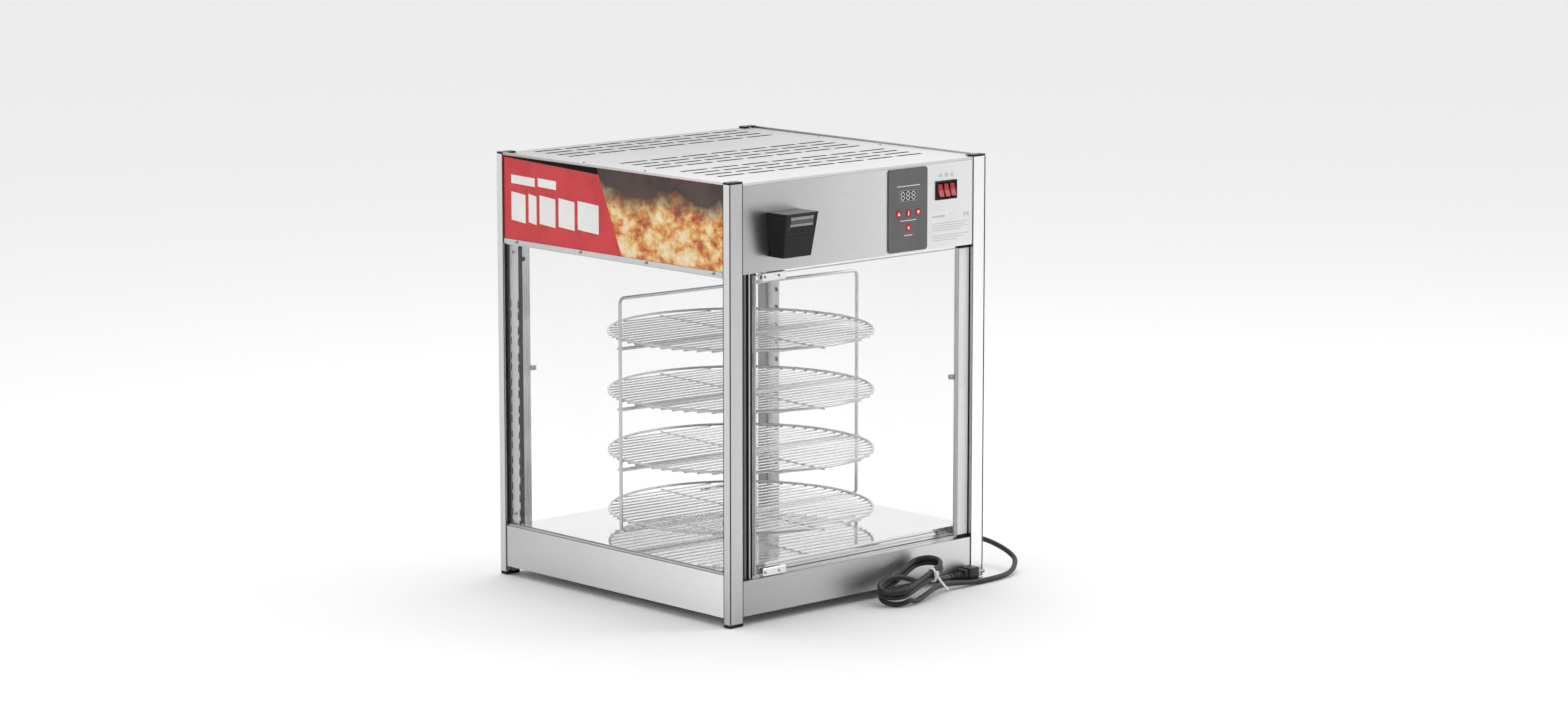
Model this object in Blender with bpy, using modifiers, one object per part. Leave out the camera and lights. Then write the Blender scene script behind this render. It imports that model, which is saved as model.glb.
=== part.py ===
"""Countertop hot food display case: a glazed cabinet with a turning four-tier wire rack.

Units are metres, +Z is up. The control side faces -Y, the printed header signs face -X and +X.
The cabinet is drawn around its own turning axis and then moved back by ORIGIN_SHIFT, so that the
origin is under the middle of the whole object, water hopper included.
"""

import math

import bmesh
import bpy
from mathutils import Matrix, Vector

MM = 0.001
GAP = 0.3 * MM  # clearance between pieces that touch
SHEET = 1.2 * MM

# Overall size
WIDTH = 570 * MM
DEPTH = 570 * MM
HEIGHT = 711 * MM
HALF_X = WIDTH / 2
HALF_Y = DEPTH / 2

# Corner posts
POST_X = 29 * MM
POST_Y = 15 * MM
JAMB_REACH = 57 * MM  # from the cabinet's side to the end of the door jamb
JAMB_DEPTH = 12 * MM
FOOT_HEIGHT = 5 * MM
CAP_THICKNESS = 3 * MM
GROOVE_START = 4.6 * MM
GROOVE_END = 10.4 * MM
GROOVE_DEPTH = 5 * MM

# Levels
TRAY_BOTTOM = 15 * MM
DOOR_SKIRT_TOP = 72 * MM
SIDE_SKIRT_TOP = 84 * MM
FLOOR_TOP = 88 * MM
CEILING = 561 * MM
HEADER_BOTTOM = 563.5 * MM
HEADER_TOP = 703.4 * MM
ROOF_TOP = 708 * MM
FACE_SETBACK = 1.6 * MM  # sheet centre line behind the posts' faces
BETWEEN_POSTS_X = HALF_X - POST_X - 0.5 * MM
BETWEEN_POSTS_Y = HALF_Y - POST_Y - 0.5 * MM
CHAMBER_Y = 268.5 * MM
FLOOR_EDGE_Y = 254 * MM  # short of the doors, whose hinged edges swing in over the sills

# Glass
GLASS = 4 * MM
SIDE_GLASS_X = HALF_X - 7.5 * MM
DOOR_GLASS = 5 * MM
DOOR_Y = HALF_Y - 6.5 * MM
DOOR_HALF = 226.5 * MM
DOOR_BOTTOM = 76 * MM
DOOR_TOP = 559 * MM
PIVOT_X = 205 * MM
CLAMP_WIDTH = 50 * MM
CLAMP_HEIGHT = 13 * MM
CLAMP_THICKNESS = 11 * MM
PIN_RADIUS = 2.8 * MM

# Turning rack
TIERS = (116.8 * MM, 216.8 * MM, 316.8 * MM, 416.8 * MM)
RACK_RADIUS = 220 * MM
RIM_WIRE = 4.6 * MM
GRID_WIRE = 3 * MM
GRID_PITCH = 20 * MM
FRAME_HALF = 250 * MM
FRAME_BOTTOM = 108 * MM
FRAME_TOP = 492 * MM
FRAME_WIRE = 6 * MM
FRAME_CORNER = 9 * MM
BAR_WIRE = 4 * MM
BAR_DROP = 8 * MM
BAR_OFFSET = 4.7 * MM
RACK_ANGLE = math.radians(-4)

# Control side
CONTROLLER = (61.8 * MM, 149.3 * MM, 566 * MM, 702 * MM)
BUTTON_RADIUS = 5.6 * MM
BUTTONS = {
    "button_up": (84 * MM, 628.5 * MM),
    "button_set": (106 * MM, 628.5 * MM),
    "button_down": (128 * MM, 628.5 * MM),
    "button_lamp": (106 * MM, 604.5 * MM),
}
DISPLAY = (87 * MM, 125 * MM, 648.5 * MM, 666 * MM)
SWITCHES = (171 * MM, 217.5 * MM, 643.5 * MM, 674.5 * MM)
SWITCH_MIDDLE = (SWITCHES[2] + SWITCHES[3]) / 2
SWITCH_BODY = (173 * MM, 215.4 * MM, 13.6 * MM)  # from and to in X, and half its height
ROCKERS = {"rocker_heat": 180.3 * MM, "rocker_lamp": 194.2 * MM, "rocker_turn": 208.1 * MM}
ROCKER_WIDTH = 11 * MM

# Water hopper
HOPPER_X = -169 * MM
HOPPER_TOP = 658 * MM
HOPPER_BOTTOM = 587 * MM
HOPPER_TOP_WIDTH = 69 * MM
HOPPER_BOTTOM_WIDTH = 60 * MM
HOPPER_REACH = 44 * MM
HOPPER_BOTTOM_REACH = 32 * MM
HOPPER_SEAM = 623 * MM
HOPPER_WALL = 2 * MM

ORIGIN_SHIFT = HOPPER_REACH / 2

# Roof slots: three groups of four rows of seven, long side along X
SLOT_GROUPS = (213 * MM, -3 * MM, -150 * MM)
SLOT_ROWS = 4
SLOT_COLUMNS = 7
SLOT_ROW_PITCH = 29 * MM
SLOT_COLUMN_PITCH = 66 * MM
SLOT_LENGTH = 57 * MM
SLOT_WIDTH = 9 * MM

# Cord
CORD = 8.6 * MM
GLAND_Y = -150 * MM
GLAND_Z = 50 * MM
GLAND_LENGTH = 30 * MM
LEAD_ROUTE = (
    (314.9, -150.0, 50.0), (332.0, -151.0, 49.5), (349.0, -165.0, 47.0), (358.5, -190.0, 44.5),
    (361.5, -220.5, 41.5), (364.0, -244.0, 36.0), (366.5, -264.0, 28.5), (364.0, -282.0, 20.0),
    (350.0, -296.0, 12.5), (329.0, -308.0, 7.0), (303.0, -316.0, 4.9), (274.0, -319.5, 4.6),
    (246.0, -320.5, 4.8), (218.0, -320.5, 6.5), (190.0, -320.5, 9.5), (162.0, -321.5, 12.0),
    (134.0, -327.5, 12.0), (106.0, -338.0, 9.0), (80.0, -348.5, 6.6), (58.0, -356.0, 5.4),
)
TAIL_ROUTE = (
    (192.9, -300.2, 14.2), (174.0, -300.6, 14.4), (156.0, -302.5, 15.0), (138.0, -306.5, 16.8),
    (120.0, -312.0, 20.0), (106.0, -316.5, 22.8),
)
# The hank: three turns of cord stacked in one oval, which leans up to the right against the base
HANK_CENTRE = (74 * MM, -328 * MM, 34 * MM)
HANK_TURN = (math.radians(4), math.radians(-16.5), math.radians(10))
HANK_STRAIGHT = 42 * MM
HANK_RADIUS = 30 * MM
HANK_HOLE_RADIUS = 20.8 * MM
HANK_THICKNESS = 25.6 * MM
PLUG_BODY = ((218.5, 250), (-313, -287.5), (0.8, 27.5))  # millimetres, in X, Y and Z
PLUG_AXIS = (-300.2 * MM, 14.2 * MM)


def clear_scene():
    for obj in list(bpy.data.objects):
        bpy.data.objects.remove(obj, do_unlink=True)


def material(name, colour, roughness, metallic=0.0, alpha=1.0):
    made = bpy.data.materials.get(name) or bpy.data.materials.new(name)
    made.use_nodes = True
    shader = made.node_tree.nodes["Principled BSDF"]
    shader.inputs["Base Color"].default_value = (*colour, 1.0)
    shader.inputs["Roughness"].default_value = roughness
    shader.inputs["Metallic"].default_value = metallic
    shader.inputs["Alpha"].default_value = alpha
    return made


def steel():
    return material("brushed_steel", (0.62, 0.62, 0.61), 0.34, 1.0)


def mirror_steel():
    return material("polished_steel", (0.75, 0.75, 0.75), 0.12, 1.0)


def post_metal():
    return material("satin_aluminium", (0.72, 0.72, 0.72), 0.30, 1.0)


def clear_glass():
    return material("clear_glass", (0.93, 0.96, 0.95), 0.03, 0.0, 0.25)


def bright_wire():
    return material("chromed_wire", (0.72, 0.72, 0.72), 0.18, 1.0)


def black_plastic():
    return material("black_plastic", (0.015, 0.015, 0.016), 0.42)


def red_plastic():
    return material("red_plastic", (0.72, 0.03, 0.04), 0.30)


def graphite_film():
    return material("graphite_film", (0.11, 0.11, 0.115), 0.38)


def cord_black():
    return material("cord_rubber", (0.02, 0.02, 0.022), 0.50)


def sign_print():
    return material("sign_print", (0.66, 0.05, 0.05), 0.35)


def collections():
    parts = bpy.data.collections.new("hot_food_display_case")
    cutters = bpy.data.collections.new("cutters")
    for made in (parts, cutters):
        bpy.context.scene.collection.children.link(made)
    cutters.hide_render = True
    return parts, cutters


clear_scene()
PARTS, CUTTERS = collections()
CABINET = bpy.data.objects.new("cabinet_origin", None)
CABINET.location = (0, ORIGIN_SHIFT, 0)
PARTS.objects.link(CABINET)


def as_part(obj, finish=None, parent=None):
    """Puts an object among the parts, under the cabinet's own origin."""
    for held in list(obj.users_collection):
        held.objects.unlink(obj)
    PARTS.objects.link(obj)
    obj.parent = parent or CABINET
    if finish:
        obj.data.materials.clear()
        obj.data.materials.append(finish)
    return obj


def as_cutter(obj):
    for held in list(obj.users_collection):
        held.objects.unlink(obj)
    CUTTERS.objects.link(obj)
    obj.parent = CABINET
    obj.hide_render = True
    obj.display_type = "WIRE"
    return obj


def mesh_object(name, mesh_maker, origin=(0, 0, 0)):
    mesh = bpy.data.meshes.new(name)
    shape = bmesh.new()
    mesh_maker(shape)
    bmesh.ops.recalc_face_normals(shape, faces=shape.faces)
    shape.to_mesh(mesh)
    shape.free()
    obj = bpy.data.objects.new(name, mesh)
    obj.location = origin
    bpy.context.scene.collection.objects.link(obj)
    return obj


def add_box(shape, low, high):
    low, high = Vector(low), Vector(high)
    size = Matrix.Diagonal((*(high - low), 1.0))
    bmesh.ops.create_cube(shape, size=1.0, matrix=Matrix.Translation((low + high) / 2) @ size)


def boxes(name, corners, origin=(0, 0, 0)):
    """One mesh of boxes, each given by its low and high corners in the cabinet's frame."""
    shift = Vector(origin)

    def make(shape):
        for low, high in corners:
            add_box(shape, Vector(low) - shift, Vector(high) - shift)

    return mesh_object(name, make, origin)


def box(name, low, high, finish, bevel=0.0, origin=(0, 0, 0), segments=1):
    obj = as_part(boxes(name, [(low, high)], origin), finish)
    if bevel:
        round_edges(obj, bevel, segments)
    return obj


def round_edges(obj, width, segments=1, angle=40):
    bevel = obj.modifiers.new("rounded", "BEVEL")
    bevel.width = width
    bevel.segments = segments
    bevel.limit_method = "ANGLE"
    bevel.angle_limit = math.radians(angle)
    return bevel


def boolean(obj, other, operation):
    modifier = obj.modifiers.new(operation.lower(), "BOOLEAN")
    modifier.operation = operation
    modifier.solver = "EXACT"
    modifier.object = other
    return obj


def cut(obj, cutter):
    return boolean(obj, as_cutter(cutter), "DIFFERENCE")


def join(obj, other):
    return boolean(obj, as_cutter(other), "UNION")


def cylinder(name, centre, radius, length, axis="Z", sides=20):
    turn = {"X": Matrix.Rotation(math.pi / 2, 4, "Y"), "Y": Matrix.Rotation(math.pi / 2, 4, "X")}

    def make(shape):
        bmesh.ops.create_cone(
            shape, cap_ends=True, segments=sides, radius1=radius, radius2=radius, depth=length,
            matrix=turn.get(axis, Matrix.Identity(4)),
        )

    return mesh_object(name, make, centre)


def folded(name, path, along, start, end, sheet=SHEET):
    """Bent sheet: an open outline drawn out along X or Y, with the sheet's thickness about it."""
    def corner(point, reach):
        first, level = point
        return (reach, first, level) if along == "X" else (first, reach, level)

    def make(shape):
        near = [shape.verts.new(corner(point, start)) for point in path]
        far = [shape.verts.new(corner(point, end)) for point in path]
        for i in range(len(path) - 1):
            shape.faces.new((near[i], near[i + 1], far[i + 1], far[i]))

    obj = mesh_object(name, make)
    wall = obj.modifiers.new("sheet", "SOLIDIFY")
    wall.thickness = sheet
    wall.offset = 0.0
    wall.use_even_offset = True
    return obj


def outline_curve(name, loops, low, high):
    """A flat outline with its holes, drawn up from one level to another."""
    curve = bpy.data.curves.new(name, "CURVE")
    curve.dimensions = "2D"
    curve.fill_mode = "BOTH"
    curve.extrude = (high - low) / 2
    for loop in loops:
        spline = curve.splines.new("POLY")
        spline.points.add(len(loop) - 1)
        for point, (x, y) in zip(spline.points, loop):
            point.co = (x, y, 0, 1)
        spline.use_cyclic_u = True
    obj = bpy.data.objects.new(name, curve)
    obj.location = (0, 0, (low + high) / 2)
    bpy.context.scene.collection.objects.link(obj)
    return obj


def tube_curve(name, points, radius, closed=False, resolution=2):
    curve = bpy.data.curves.new(name, "CURVE")
    curve.dimensions = "3D"
    curve.bevel_depth = radius
    curve.bevel_resolution = resolution
    curve.use_fill_caps = not closed
    spline = curve.splines.new("POLY")
    spline.points.add(len(points) - 1)
    for point, place in zip(spline.points, points):
        point.co = (*place, 1)
    spline.use_cyclic_u = closed
    obj = bpy.data.objects.new(name, curve)
    bpy.context.scene.collection.objects.link(obj)
    return obj


def meshed(obj):
    """The curve as a mesh of one closed skin, so that Booleans can use it."""
    bpy.context.view_layer.update()
    graph = bpy.context.evaluated_depsgraph_get()
    mesh = bpy.data.meshes.new_from_object(obj.evaluated_get(graph))
    shape = bmesh.new()
    shape.from_mesh(mesh)
    bmesh.ops.remove_doubles(shape, verts=shape.verts, dist=0.00001)
    bmesh.ops.recalc_face_normals(shape, faces=shape.faces)
    shape.to_mesh(mesh)
    shape.free()
    name = obj.name
    place = obj.matrix_world.copy()
    bpy.data.objects.remove(obj, do_unlink=True)
    made = bpy.data.objects.new(name, mesh)
    made.matrix_world = place
    bpy.context.scene.collection.objects.link(made)
    return made


def turned(name, profile, centre, finish, sides=24):
    """A turned piece: (radius, height) points from the top of the axis down its outer side."""
    def make(shape):
        points = [shape.verts.new((radius, 0, height)) for radius, height in profile]
        for first, second in zip(points, points[1:]):
            shape.edges.new((first, second))

    obj = as_part(mesh_object(name, make, centre), finish)
    screw = obj.modifiers.new("turned", "SCREW")
    screw.steps = sides
    screw.render_steps = sides
    screw.use_merge_vertices = True
    screw.merge_threshold = 0.00001
    return obj


def smooth_route(route, spacing):
    """Points at even spacing on one smooth curve through the route's own points (Catmull-Rom)."""
    knots = [Vector(point) * MM for point in route]
    ends = [2 * knots[0] - knots[1]] + knots + [2 * knots[-1] - knots[-2]]
    fine = []
    steps = 24
    for a, b, c, d in zip(ends, ends[1:], ends[2:], ends[3:]):
        for step in range(steps):
            t = step / steps
            fine.append(0.5 * (
                2 * b + (c - a) * t + (2 * a - 5 * b + 4 * c - d) * t ** 2
                + (3 * b - a - 3 * c + d) * t ** 3
            ))
    fine.append(knots[-1])
    length = sum((q - p).length for p, q in zip(fine, fine[1:]))
    count = max(2, round(length / spacing))
    points, run, goal = [fine[0]], 0.0, length / count
    for p, q in zip(fine, fine[1:]):
        step = (q - p).length
        while run + step >= goal - 1e-9 and len(points) < count:
            points.append(p.lerp(q, (goal - run) / step))
            goal += length / count
        run += step
    return points + [fine[-1]]


def post_section(side_x, side_y):
    """A post's outline: the extrusion's box with its glass groove, and the door jamb beside it."""
    def place(u, v):
        return side_x * (HALF_X - u), side_y * (HALF_Y - v)

    outer = (
        (0, 0), (POST_X, 0), (POST_X, JAMB_DEPTH), (JAMB_REACH, JAMB_DEPTH),
        (JAMB_REACH, JAMB_DEPTH + 2 * MM), (POST_X, JAMB_DEPTH + 2 * MM), (POST_X, POST_Y),
        (GROOVE_END, POST_Y), (GROOVE_END, POST_Y - GROOVE_DEPTH),
        (GROOVE_START, POST_Y - GROOVE_DEPTH), (GROOVE_START, POST_Y), (0, POST_Y),
    )
    wall = 1.6 * MM
    hollow = (
        (GROOVE_END + wall, wall), (POST_X - wall, wall),
        (POST_X - wall, POST_Y - wall), (GROOVE_END + wall, POST_Y - wall),
    )
    return [[place(*point) for point in loop] for loop in (outer, hollow)]


def corner_posts():
    sides = {"front_left": (-1, -1), "front_right": (1, -1), "rear_left": (-1, 1), "rear_right": (1, 1)}
    jamb_low, jamb_high = DOOR_SKIRT_TOP + 0.6 * MM, HEADER_BOTTOM - 0.6 * MM
    for corner, (side_x, side_y) in sides.items():
        x = sorted((side_x * HALF_X, side_x * (HALF_X - POST_X)))
        y = sorted((side_y * HALF_Y, side_y * (HALF_Y - POST_Y)))
        loops = post_section(side_x, side_y)
        post = meshed(outline_curve(
            "post_" + corner, loops, FOOT_HEIGHT + GAP, ROOF_TOP - GAP))
        as_part(post, post_metal())
        jamb_x = sorted((side_x * (HALF_X - POST_X - 0.2 * MM), side_x * (HALF_X - JAMB_REACH - MM)))
        jamb_y = sorted((side_y * (HALF_Y - JAMB_DEPTH + MM), side_y * (CHAMBER_Y - MM)))
        trims = boxes("jamb_trim_" + corner, [
            ((jamb_x[0], jamb_y[0], 0), (jamb_x[1], jamb_y[1], jamb_low)),
            ((jamb_x[0], jamb_y[0], jamb_high), (jamb_x[1], jamb_y[1], HEIGHT)),
        ])
        cut(post, trims)
        box("post_cap_" + corner, (x[0], y[0], ROOF_TOP), (x[1], y[1], HEIGHT),
            black_plastic(), 0.6 * MM)
        box("foot_" + corner, (x[0], y[0], 0), (x[1], y[1], FOOT_HEIGHT), black_plastic(), 0.6 * MM)


def base_tray():
    edge_x, edge_y = HALF_X - FACE_SETBACK, HALF_Y - FACE_SETBACK
    low = TRAY_BOTTOM + SHEET / 2
    side_top, door_top = SIDE_SKIRT_TOP - SHEET / 2, DOOR_SKIRT_TOP - SHEET / 2
    hem = 8 * MM
    tray = folded("base_tray", (
        (hem - edge_x, side_top), (-edge_x, side_top), (-edge_x, low),
        (edge_x, low), (edge_x, side_top), (edge_x - hem, side_top),
    ), "Y", -BETWEEN_POSTS_Y, BETWEEN_POSTS_Y)
    as_part(tray, steel())
    for side in (-1, 1):
        skirt = folded("door_skirt_" + ("front" if side < 0 else "rear"), (
            (side * (FLOOR_EDGE_Y + 1.4 * MM), door_top), (side * edge_y, door_top),
            (side * edge_y, low), (side * (edge_y - 4 * hem), low),
        ), "X", -BETWEEN_POSTS_X, BETWEEN_POSTS_X)
        join(tray, skirt)
        cut(tray, cylinder(
            "sill_hole_" + ("front" if side < 0 else "rear"),
            (side * PIVOT_X, side * DOOR_Y, DOOR_SKIRT_TOP), PIN_RADIUS + 0.5 * MM, 10 * MM, sides=12))
    cut(tray, cylinder("gland_hole", (HALF_X, GLAND_Y, GLAND_Z), 6.4 * MM, 20 * MM, "X", 16))
    vents = [((-60 * MM + 24 * MM * i, 150 * MM, 10 * MM), (-48 * MM + 24 * MM * i, 200 * MM, 20 * MM))
             for i in range(6)]
    cut(tray, boxes("base_vents", vents))


def chamber_floor():
    reach_x = SIDE_GLASS_X - GLASS / 2 - 0.8 * MM
    top = FLOOR_TOP - SHEET / 2
    reach_y = FLOOR_EDGE_Y - SHEET / 2
    drop = DOOR_SKIRT_TOP + 1.2 * MM
    floor = folded("chamber_floor", (
        (-reach_y, drop), (-reach_y, top), (reach_y, top), (reach_y, drop),
    ), "X", -reach_x, reach_x)
    as_part(floor, mirror_steel())
    cut(floor, cylinder("drive_hole", (0, 0, FLOOR_TOP), 14 * MM, 20 * MM, sides=24))


def chamber_ceiling():
    edge = HALF_X - FACE_SETBACK
    lip = 568.4 * MM
    ceiling = folded("chamber_ceiling", (
        (-edge, lip), (-edge, CEILING), (edge, CEILING), (edge, lip),
    ), "Y", -BETWEEN_POSTS_Y + MM, BETWEEN_POSTS_Y - MM)
    as_part(ceiling, steel())
    slots = []
    for side in (-1, 1):
        for i in range(5):
            x = side * (150 + 14 * i) * MM
            slots.append(((x - 2.5 * MM, -90 * MM, CEILING - 5 * MM),
                          (x + 2.5 * MM, 90 * MM, CEILING + 5 * MM)))
    for i in range(7):
        x = (i - 3) * 14 * MM
        slots.append(((x - 2.5 * MM, -48 * MM, CEILING - 5 * MM), (x + 2.5 * MM, 48 * MM, CEILING + 5 * MM)))
    cut(ceiling, boxes("ceiling_slots", slots))


def roof_panel():
    edge = HALF_X - FACE_SETBACK + 0.6 * MM
    level = ROOF_TOP - SHEET / 2
    proud = level + 2.6 * MM
    roof = folded("roof_panel", (
        (4.2 * MM - edge, proud), (-edge, proud), (-edge, level),
        (edge, level), (edge, proud), (edge - 4.2 * MM, proud),
    ), "Y", 0.4 * MM - HALF_Y, HALF_Y - 0.4 * MM)
    as_part(roof, steel())
    join(roof, boxes("roof_lips", [
        ((-BETWEEN_POSTS_X, side * HALF_Y - side * 0.4 * MM - (SHEET if side > 0 else 0), HEADER_TOP + 0.4 * MM),
         (BETWEEN_POSTS_X, side * HALF_Y - side * 0.4 * MM + (SHEET if side < 0 else 0), level))
        for side in (-1, 1)]))
    past = 5 * MM
    corners = []
    for side_x in (-1, 1):
        for side_y in (-1, 1):
            x = sorted((side_x * BETWEEN_POSTS_X, side_x * (HALF_X + past)))
            y = sorted((side_y * BETWEEN_POSTS_Y, side_y * (HALF_Y + past)))
            corners.append(((x[0], y[0], 690 * MM), (x[1], y[1], 720 * MM)))
    cut(roof, boxes("roof_corners", corners))
    slots = []
    for group in SLOT_GROUPS:
        for row in range(SLOT_ROWS):
            for column in range(SLOT_COLUMNS):
                x = (column - (SLOT_COLUMNS - 1) / 2) * SLOT_COLUMN_PITCH
                y = group + (row - (SLOT_ROWS - 1) / 2) * SLOT_ROW_PITCH
                slots.append((
                    (x - SLOT_LENGTH / 2, y - SLOT_WIDTH / 2, level - 3 * MM),
                    (x + SLOT_LENGTH / 2, y + SLOT_WIDTH / 2, level + 2 * MM)))
    cut(roof, boxes("roof_slots", slots))


def header_panels():
    """The control panel and the plain panel behind it, each with a return along its lower edge."""
    edge = HALF_Y - FACE_SETBACK
    low = HEADER_BOTTOM + SHEET / 2
    for name, side in (("control_panel", -1), ("rear_panel", 1)):
        panel = folded(name, (
            (side * (CHAMBER_Y + 1.5 * MM), low), (side * edge, low), (side * edge, HEADER_TOP),
        ), "X", -BETWEEN_POSTS_X, BETWEEN_POSTS_X)
        as_part(panel, steel())
        cut(panel, cylinder(
            name + "_pivot_hole", (side * PIVOT_X, side * DOOR_Y, HEADER_BOTTOM),
            PIN_RADIUS + 0.5 * MM, 10 * MM, sides=12))
    front = -edge
    x0, x1, z0, z1 = CONTROLLER
    s0, s1, tall = SWITCH_BODY
    slack = 0.4 * MM
    inset = 7 * MM
    holes = [
        ((x0 + inset, front - 5 * MM, z0 + inset), (x1 - inset, front + 5 * MM, z1 - inset)),
        ((s0 - slack, front - 5 * MM, SWITCH_MIDDLE - tall - slack),
         (s1 + slack, front + 5 * MM, SWITCH_MIDDLE + tall + slack)),
        ((HOPPER_X - 16 * MM, front - 5 * MM, 590 * MM), (HOPPER_X + 16 * MM, front + 5 * MM, 603 * MM)),
    ]
    cut(bpy.data.objects["control_panel"], boxes("control_panel_holes", holes))


def signs():
    x_out, x_in = HALF_X - 2.4 * MM, HALF_X - 4.2 * MM
    for name, side in (("sign_left", -1), ("sign_right", 1)):
        x = sorted((side * x_out, side * x_in))
        box(name, (x[0], 0.4 * MM - BETWEEN_POSTS_Y, 562.2 * MM),
            (x[1], BETWEEN_POSTS_Y - 0.4 * MM, 706 * MM), sign_print())


def side_glass():
    reach = HALF_Y - POST_Y + GROOVE_DEPTH - MM
    for name, side in (("side_glass_left", -1), ("side_glass_right", 1)):
        x = sorted((side * (SIDE_GLASS_X - GLASS / 2), side * (SIDE_GLASS_X + GLASS / 2)))
        box(name, (x[0], -reach, SIDE_SKIRT_TOP + 0.6 * MM), (x[1], reach, CEILING - SHEET),
            clear_glass())


def pivot_empty(name, place):
    empty = bpy.data.objects.new(name, None)
    empty.location = place
    empty.parent = CABINET
    PARTS.objects.link(empty)
    return empty


def swing_door(name, side):
    """A frameless glass door on two pivot clamps. side -1 is the control side, +1 the far side."""
    pivot = (side * PIVOT_X, side * DOOR_Y, 0)
    hinge = pivot_empty(name + "_pivot", pivot)

    def door_box(part, low, high, finish, bevel=0.0):
        shift = Vector(pivot)
        made = boxes(part, [(Vector(low) - shift, Vector(high) - shift)])
        as_part(made, finish, hinge)
        if bevel:
            round_edges(made, bevel)
        return made

    def spread(a, b):
        return sorted((side * a, side * b))

    glass_y = spread(DOOR_Y - DOOR_GLASS / 2, DOOR_Y + DOOR_GLASS / 2)
    door_box(name + "_glass", (-DOOR_HALF, glass_y[0], DOOR_BOTTOM),
             (DOOR_HALF, glass_y[1], DOOR_TOP), clear_glass(), 0.8 * MM)
    clamp_x = spread(PIVOT_X + 7 * MM, PIVOT_X + 7 * MM - CLAMP_WIDTH)
    clamp_y = spread(DOOR_Y - CLAMP_THICKNESS / 2, DOOR_Y + CLAMP_THICKNESS / 2)
    slot_y = spread(DOOR_Y - DOOR_GLASS / 2 - GAP, DOOR_Y + DOOR_GLASS / 2 + GAP)
    for end, edge, way in (("bottom", DOOR_BOTTOM, 1), ("top", DOOR_TOP, -1)):
        outer, inner = edge - way * 2.6 * MM, edge + way * (CLAMP_HEIGHT - 2.6 * MM)
        level = sorted((outer, inner))
        clamp = door_box(f"{name}_clamp_{end}", (clamp_x[0], clamp_y[0], level[0]),
                         (clamp_x[1], clamp_y[1], level[1]), mirror_steel(), 0.8 * MM)
        mouth = sorted((edge - way * GAP, inner + way * 5 * MM))
        slot = boxes(f"{name}_slot_{end}", [(
            (clamp_x[0] - 5 * MM, slot_y[0], mouth[0]), (clamp_x[1] + 5 * MM, slot_y[1], mouth[1]))])
        cut(clamp, slot)
        pin = cylinder(f"{name}_pin_{end}", (pivot[0], pivot[1], outer - way * 4 * MM),
                       PIN_RADIUS, 10 * MM, sides=12)
        join(clamp, pin)
        trim = boxes(f"{name}_trim_{end}", [(
            (clamp_x[0] - MM, slot_y[0], sorted((edge - way * GAP, edge + way * 20 * MM))[0]),
            (clamp_x[1] + MM, slot_y[1], sorted((edge - way * GAP, edge + way * 20 * MM))[1]))])
        cut(clamp, trim)


def door_catches():
    """A magnetic catch on the jamb at half height, behind each door's free edge."""
    for name, side in (("door_front_catch", -1), ("door_rear_catch", 1)):
        x = sorted((-side * 219 * MM, -side * (HALF_X - JAMB_REACH - GAP)))
        y = sorted((side * (DOOR_Y - DOOR_GLASS / 2 - 0.6 * MM), side * 266 * MM))
        box(name, (x[0], y[0], 340 * MM), (x[1], y[1], 348 * MM), steel(), 0.8 * MM)


def lamp_strips():
    """An upright lamp strip inside each side pane, near its rear post, from the floor to the ceiling."""
    level = (FLOOR_TOP + GAP, CEILING - SHEET / 2 - GAP)
    for name, x, y in (("lamp_strip_left", (-274.6, -266.6), (244, 266)),
                       ("lamp_strip_right", (266.4, 274.6), (228, 248))):
        box(name, (x[0] * MM, y[0] * MM, level[0]), (x[1] * MM, y[1] * MM, level[1]), post_metal(), 0.8 * MM)


def controller():
    x0, x1, z0, z1 = CONTROLLER
    face = -HALF_Y - 1.3 * MM
    back = face + 2 * MM
    plate = as_part(boxes("controller", [((x0, face, z0), (x1, back, z1))]), graphite_film())
    corners = plate.modifiers.new("corners", "BEVEL")
    corners.width = 5 * MM
    corners.segments = 3
    corners.limit_method = "WEIGHT"
    weights = plate.data.attributes.new("bevel_weight_edge", "FLOAT", "EDGE")
    for edge in plate.data.edges:
        a, b = (plate.data.vertices[i].co for i in edge.vertices)
        weights.data[edge.index].value = 1.0 if abs(a.y - b.y) > MM else 0.0
    inset = 8 * MM
    join(plate, boxes("controller_box", [(
        (x0 + inset, back - 0.5 * MM, z0 + inset), (x1 - inset, back + 20 * MM, z1 - inset))]))
    for name, (x, z) in BUTTONS.items():
        cut(plate, cylinder(name + "_hole", (x, face + 2 * MM, z), BUTTON_RADIUS + 0.35 * MM,
                            5 * MM, "Y", 20))
    d0, d1, e0, e1 = DISPLAY
    cut(plate, boxes("display_recess", [((d0, face - MM, e0), (d1, face + 0.8 * MM, e1))]))


def buttons():
    face = -HALF_Y - 1.3 * MM
    for name, (x, z) in BUTTONS.items():
        button = cylinder(name, (x, face + 0.4 * MM, z), BUTTON_RADIUS, 2.2 * MM, "Y", 20)
        as_part(button, red_plastic())
        round_edges(button, 0.4 * MM)


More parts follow.
